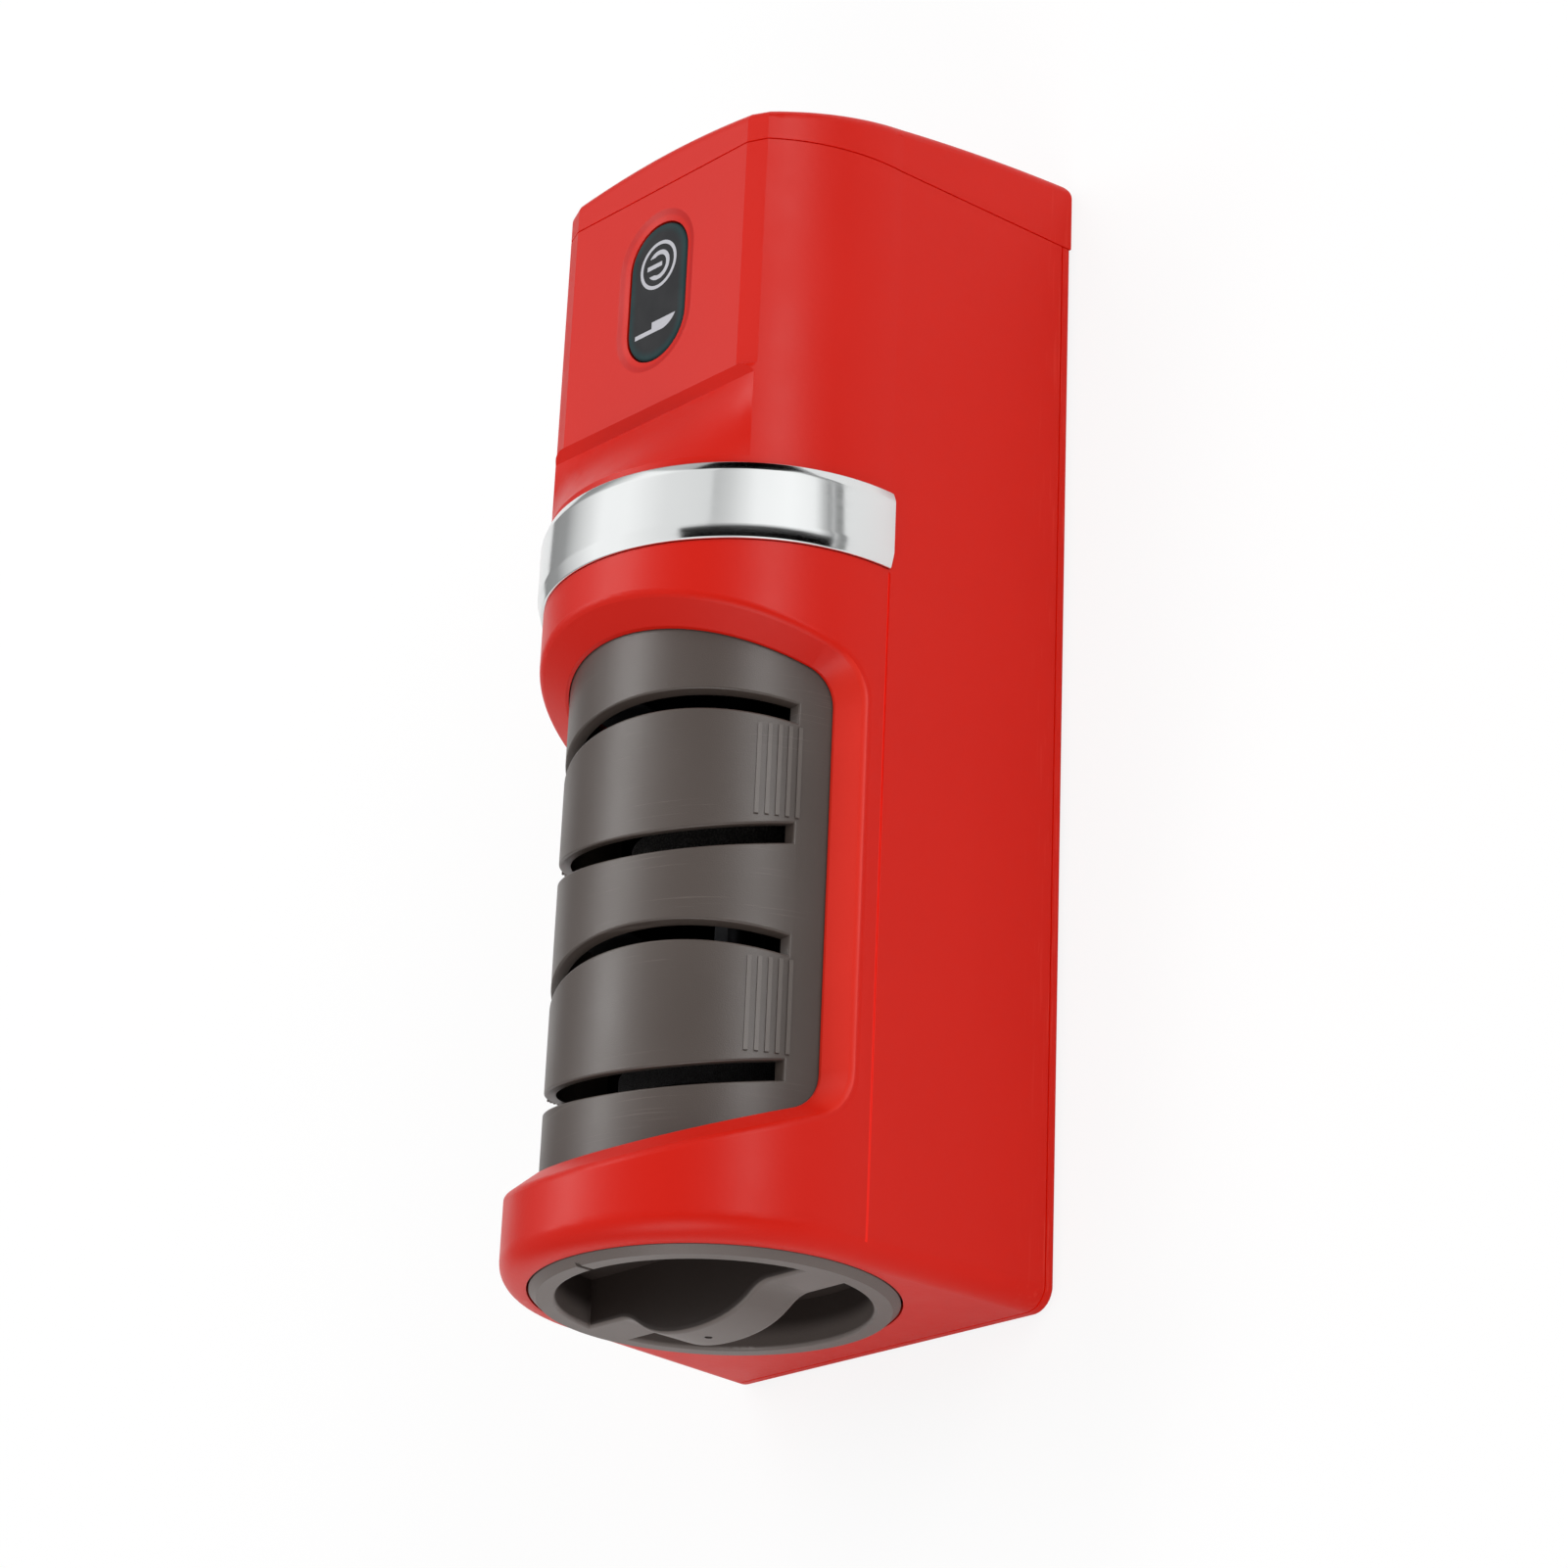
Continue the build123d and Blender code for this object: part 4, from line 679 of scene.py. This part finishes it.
def turned(name, color, roughness):
    """a metal with the fine rings of a lathe"""
    finish = Finish(name, rgb(*color), roughness, Metallic=1.0)
    rings = finish.noise(1.0, 3.0, 0.6, finish.stretched(5200.0, 120.0, 120.0))
    cloud = finish.noise(90.0, 3.0)
    shade = tuple(channel * RING_SHADE for channel in rgb(*color))
    finish.set("Base Color", finish.tint(rings * 0.5 + cloud * 0.5, shade, rgb(*color)))
    uneven = rings * 0.6 + cloud * 0.4
    finish.set("Roughness", finish.vary(uneven, roughness * 0.8, roughness * 1.25))
    finish.bump(rings, RING_DEPTH, 0.6)
    return finish


# %% Finishes of the material slots
finishes = {
    "red_shell": red_shell,
    "dark_grey_plastic": cover_plastic,
    "bright_chrome": chrome,
    "button_grey": button_skin,
    "light_inlay": plain("light_inlay", (178, 178, 184), 0.55, 0.08, 600.0, IOR=1.3),
    "inner_plastic": plain("inner_plastic", (30, 30, 32), 0.6),
    "black_rubber": plain(
        "black_rubber", (27, 27, 27), 0.85, 0.15, 400.0, 0.00006, 2400.0, IOR=1.4),
    "steel": turned("steel", (176, 176, 178), 0.3),
    "bronze": turned("bronze", (178, 132, 78), 0.36),
    "fine_abrasive": grit("fine_abrasive", (40, 38, 38), (64, 62, 63), 5200.0, 0.00005),
    "coarse_abrasive": grit("coarse_abrasive", (31, 29, 27), (54, 50, 47), 2600.0, 0.0001),
    "motor_steel": turned("motor_steel", (165, 166, 168), 0.38),
    "magnet_grey": plain("magnet_grey", (48, 48, 50), 0.7, 0.12, 500.0),
    "contact_metal": plain("contact_metal", (206, 196, 160), 0.3, Metallic=1.0),
    "board_green": plain("board_green", (22, 88, 48), 0.4, 0.12, 700.0),
    "cell_sleeve": plain("cell_sleeve", (44, 92, 150), 0.35),
}
print("finishes", len(finishes))

# %% [markdown]
# Each CAD node takes the finish of its material slot. A few get one of their own instead: what
# lies behind the blade slots is painted near black, painted shade, and the knob has its own
# paler grey, a painted highlight.

# %% Finishes for the CAD nodes
# painted shade: the parts behind the blade slots are coloured near black
shade_steel = turned("blackened_steel", (46, 46, 48), 0.5)
PAINTED_SHADE_NODES = (
    "guide_springs", "grinding_shaft", "shaft_clips", "fine_spring", "coarse_spring",
    "cover_screws")
finish_of = {name: shade_steel for name in PAINTED_SHADE_NODES}
finish_of["end_knob"] = knob_plastic
slot_of = {part["node"]: part["material_slot"] for part in frame["record"]["subparts"]}
for name, node in nodes.items():
    material = finish_of.get(name, finishes[slot_of[name]]).material
    for material_slot in node.material_slots:
        material_slot.material = material
print("nodes with a finish of their own", len(finish_of))

# %% [markdown]
# ## Tools for modelling by hand
# Each new piece starts from a primitive and is shaped in edit mode. An operator acts on all that
# is selected, so the first helper clears the selection before a primitive is added, and the
# second selects faces, edges or vertices by where they are.

# %% Select and shape
MM = 0.001
NEAR = 0.01 * MM  # this close to a plane counts as on it
MERGE = 0.002 * MM  # corners closer than this become one


def clear():
    """nothing selected, object mode"""
    if bpy.context.object and bpy.context.object.mode != "OBJECT":
        bpy.ops.object.mode_set(mode="OBJECT")
    bpy.ops.object.select_all(action="DESELECT")


def pick(kind, where):
    """select the mesh elements of the active piece whose middle passes a test"""
    piece = bpy.context.object
    bpy.ops.mesh.select_mode(type=kind)
    bpy.ops.mesh.select_all(action="DESELECT")
    bpy.ops.object.mode_set(mode="OBJECT")
    mesh = piece.data
    items = {"VERT": mesh.vertices, "EDGE": mesh.edges, "FACE": mesh.polygons}[kind]
    count = 0
    for item in items:
        corners = [item.index] if kind == "VERT" else list(item.vertices)
        spots = [piece.matrix_world @ mesh.vertices[corner].co for corner in corners]
        item.select = bool(where(sum(spots, Vector()) / len(spots)))
        count += item.select
    bpy.ops.object.mode_set(mode="EDIT")
    return count


def finish_piece(name, body, finish, replaced, angle=30):
    """mend the mesh, smooth it, put its place in the mesh, give it its finish, hide the part it
    stands for
    """
    bpy.ops.mesh.select_all(action="SELECT")
    bpy.ops.mesh.remove_doubles(threshold=MERGE)
    bpy.ops.mesh.normals_make_consistent(inside=False)
    bpy.ops.object.mode_set(mode="OBJECT")
    bpy.ops.object.transform_apply(location=True, rotation=True, scale=True)
    bpy.ops.object.shade_smooth_by_angle(angle=math.radians(angle))
    piece = bpy.context.object
    piece.name = name
    piece.data.materials.clear()
    piece.data.materials.append(finish.material)
    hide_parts(replaced)
    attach(piece, body)
    loose = [edge for edge in piece.data.edges if edge.is_loose]
    print(name, len(piece.data.polygons), "faces, loose edges", len(loose))
    return piece


# %% [markdown]
# ## Chrome band
# The real band is bent from a strip that was rolled with two sloping edges, and its corners are
# rounded by the polishing. A hard corner would break a reflection, and a rounded one carries it
# over in a thin bright line. So the band is a small flat section whose corners are bevelled and
# which is then spun over the crown, as the strip is bent over it.

# %% Section of the band
BAND_X = (16.368 * MM, 30.868 * MM)
BAND_RADII = (35.4 * MM, 37.19 * MM)
BAND_SHOULDER = 2.3 * MM
BAND_SKEW = 0.35 * MM
BAND_DROP = 0.7 * MM
BAND_CORNER = 0.3 * MM
BAND_CUTS = 2
BAND_STEPS = 160
BAND_END = 0.1 * MM
BAND_TILT = BAND_END / BAND_RADII[0]
band_middle = (sum(BAND_X) / 2, -sum(BAND_RADII) / 2, AXIS_HEIGHT)
band_width = BAND_X[1] - BAND_X[0]
outer_line = -BAND_RADII[1] + NEAR


def from_cut(spot):
    """whether a corner of the section is one that the cuts made"""
    return BAND_X[0] + MM < spot.x < BAND_X[1] - MM


clear()
bpy.ops.mesh.primitive_plane_add(size=1.0, location=band_middle)
bpy.ops.object.mode_set(mode="EDIT")
section = (band_width, BAND_RADII[1] - BAND_RADII[0], 1.0)
bpy.ops.transform.resize(value=section, center_override=band_middle)
pick("EDGE", lambda spot: spot.y < outer_line)
bpy.ops.mesh.subdivide(number_cuts=BAND_CUTS)
pick("VERT", lambda spot: spot.y < outer_line and from_cut(spot))
spread = (band_width - 2 * BAND_SHOULDER) / (band_width / (BAND_CUTS + 1))
bpy.ops.transform.resize(value=(spread, 1.0, 1.0), center_override=band_middle)
bpy.ops.transform.translate(value=(BAND_SKEW, 0, 0))
pick("VERT", lambda spot: spot.y < outer_line and not from_cut(spot))
bpy.ops.transform.translate(value=(0, BAND_DROP, 0))
corners = pick("VERT", lambda spot: spot.y < -BAND_RADII[0] - MM)
bpy.ops.mesh.bevel(offset=BAND_CORNER, segments=4, profile=0.5, affect="VERTICES")
print("section corners", corners)

# %% Band spun over the crown
band_center = (0, 0, AXIS_HEIGHT)
bpy.ops.mesh.select_all(action="SELECT")
bpy.ops.transform.rotate(value=BAND_TILT, orient_axis="X", center_override=band_center)
sweep = math.pi - 2 * BAND_TILT
bpy.ops.mesh.spin(steps=BAND_STEPS, angle=sweep, center=band_center, axis=(1, 0, 0))
chrome_band = finish_piece("chrome_band_polished", "body", chrome, "chrome_band")
for lamp in lamps:
    pass_by(lamp, chrome_band)

# %% [markdown]
# ## Rubber feet
# A foot is a soft disc that sits in a shallow recess. Two grooves in its sole let it grip a wet
# worktop, and a dished middle helps it to hold. One foot is cut from a cylinder by insets and
# extrusions, and the other three are copies.

# %% One foot
FOOT_RADIUS = 6.0 * MM
FOOT_HEIGHT = 1.9 * MM
FOOT_EDGE = 0.4 * MM
FOOT_X = (-80.332 * MM, 69.668 * MM)
FOOT_Y = (27.4 * MM, -27.4 * MM)
FOOT_PLACES = [(foot_x, foot_y) for foot_x in FOOT_X for foot_y in FOOT_Y]
GROOVE_DEPTH = 0.35 * MM
GROOVE_STEPS = [1.1 * MM, 0.6 * MM, 0.9 * MM, 0.6 * MM, 0.8 * MM]
clear()
first_x, first_y = FOOT_PLACES[0]
bpy.ops.mesh.primitive_cylinder_add(
    vertices=72, radius=FOOT_RADIUS, depth=FOOT_HEIGHT,
    location=(first_x, first_y, FOOT_HEIGHT / 2))
bpy.ops.object.mode_set(mode="EDIT")
pick("EDGE", lambda spot: spot.z < NEAR)
bpy.ops.mesh.bevel(offset=FOOT_EDGE, segments=4, profile=0.5)
pick("FACE", lambda spot: spot.z < NEAR)
for index, step in enumerate(GROOVE_STEPS):
    bpy.ops.mesh.inset(thickness=step, depth=0)
    lift = GROOVE_DEPTH if index % 2 == 0 else -GROOVE_DEPTH
    bpy.ops.mesh.extrude_region_move(TRANSFORM_OT_translate={"value": (0, 0, lift)})
print("grooves", len(GROOVE_STEPS) // 2)

# %% Four feet
bpy.ops.mesh.select_all(action="SELECT")
last_x, last_y = first_x, first_y
for foot_x, foot_y in FOOT_PLACES[1:]:
    shift = (foot_x - last_x, foot_y - last_y, 0)
    bpy.ops.mesh.duplicate_move(TRANSFORM_OT_translate={"value": shift})
    last_x, last_y = foot_x, foot_y
finish_piece(
    "rubber_feet_grooved", "body", finishes["black_rubber"], "rubber_feet", 40)

# %% [markdown]
# ## Wheel springs
# Between the two cones of a stage sits a coil of wire that presses them apart. When a blade
# pushes one cone inwards, only its side of the coil closes up. So each coil is made as two
# halves that meet in the middle, one on the side of each cone; both hang on the spindle.
# COIL_TURNS counts the turns of both halves, so one half makes half as many. A small circle of
# wire is carried round the shaft by a Screw modifier, and the ends are closed.

# %% One half of a coil
COIL_RADIUS = 5.2 * MM
WIRE_RADIUS = 0.5 * MM
COIL_HALF = 5.45 * MM
COIL_TURNS = 5
WIRE_SIDES = 12
STEPS_A_TURN = 32


def half_coil(stage, side):
    """the half of a stage's spring on the side of one cone"""
    low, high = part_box(stage + "_spring")
    middle = ((low[0] + high[0]) / 2, 0.0, AXIS_HEIGHT)
    sign = -1 if side == "left" else 1
    clear()
    bpy.ops.mesh.primitive_circle_add(
        vertices=WIRE_SIDES, radius=WIRE_RADIUS, location=middle,
        rotation=(math.pi / 2, 0, 0))
    bpy.ops.object.transform_apply(location=False, rotation=True, scale=False)
    bpy.ops.object.mode_set(mode="EDIT")
    bpy.ops.mesh.select_all(action="SELECT")
    bpy.ops.transform.translate(value=(0, 0, COIL_RADIUS))
    bpy.ops.object.mode_set(mode="OBJECT")
    coil = bpy.context.object
    screw = coil.modifiers.new("coil", "SCREW")
    screw.axis = "X"
    screw.angle = sign * math.pi * COIL_TURNS
    screw.screw_offset = sign * COIL_HALF
    screw.steps = screw.render_steps = int(STEPS_A_TURN * COIL_TURNS / 2)
    bpy.ops.object.modifier_apply(modifier=screw.name)
    bpy.ops.object.mode_set(mode="EDIT")
    bpy.ops.mesh.select_all(action="SELECT")
    bpy.ops.mesh.fill_holes(sides=0)
    coil = finish_piece(
        f"{stage}_coil_{side}", "spindle", shade_steel, stage + "_spring", 40)
    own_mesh(coil)
    return coil


coils = [half_coil(stage, side) for stage in ("fine", "coarse") for side in ("left", "right")]
print("half coils", len(coils))

# %% [markdown]
# ## Sizes
# The pieces made by hand have to stay inside the box of the solids that they stand for. The
# last cell only leaves nothing selected, in object mode.

# %% Nothing left selected
clear()
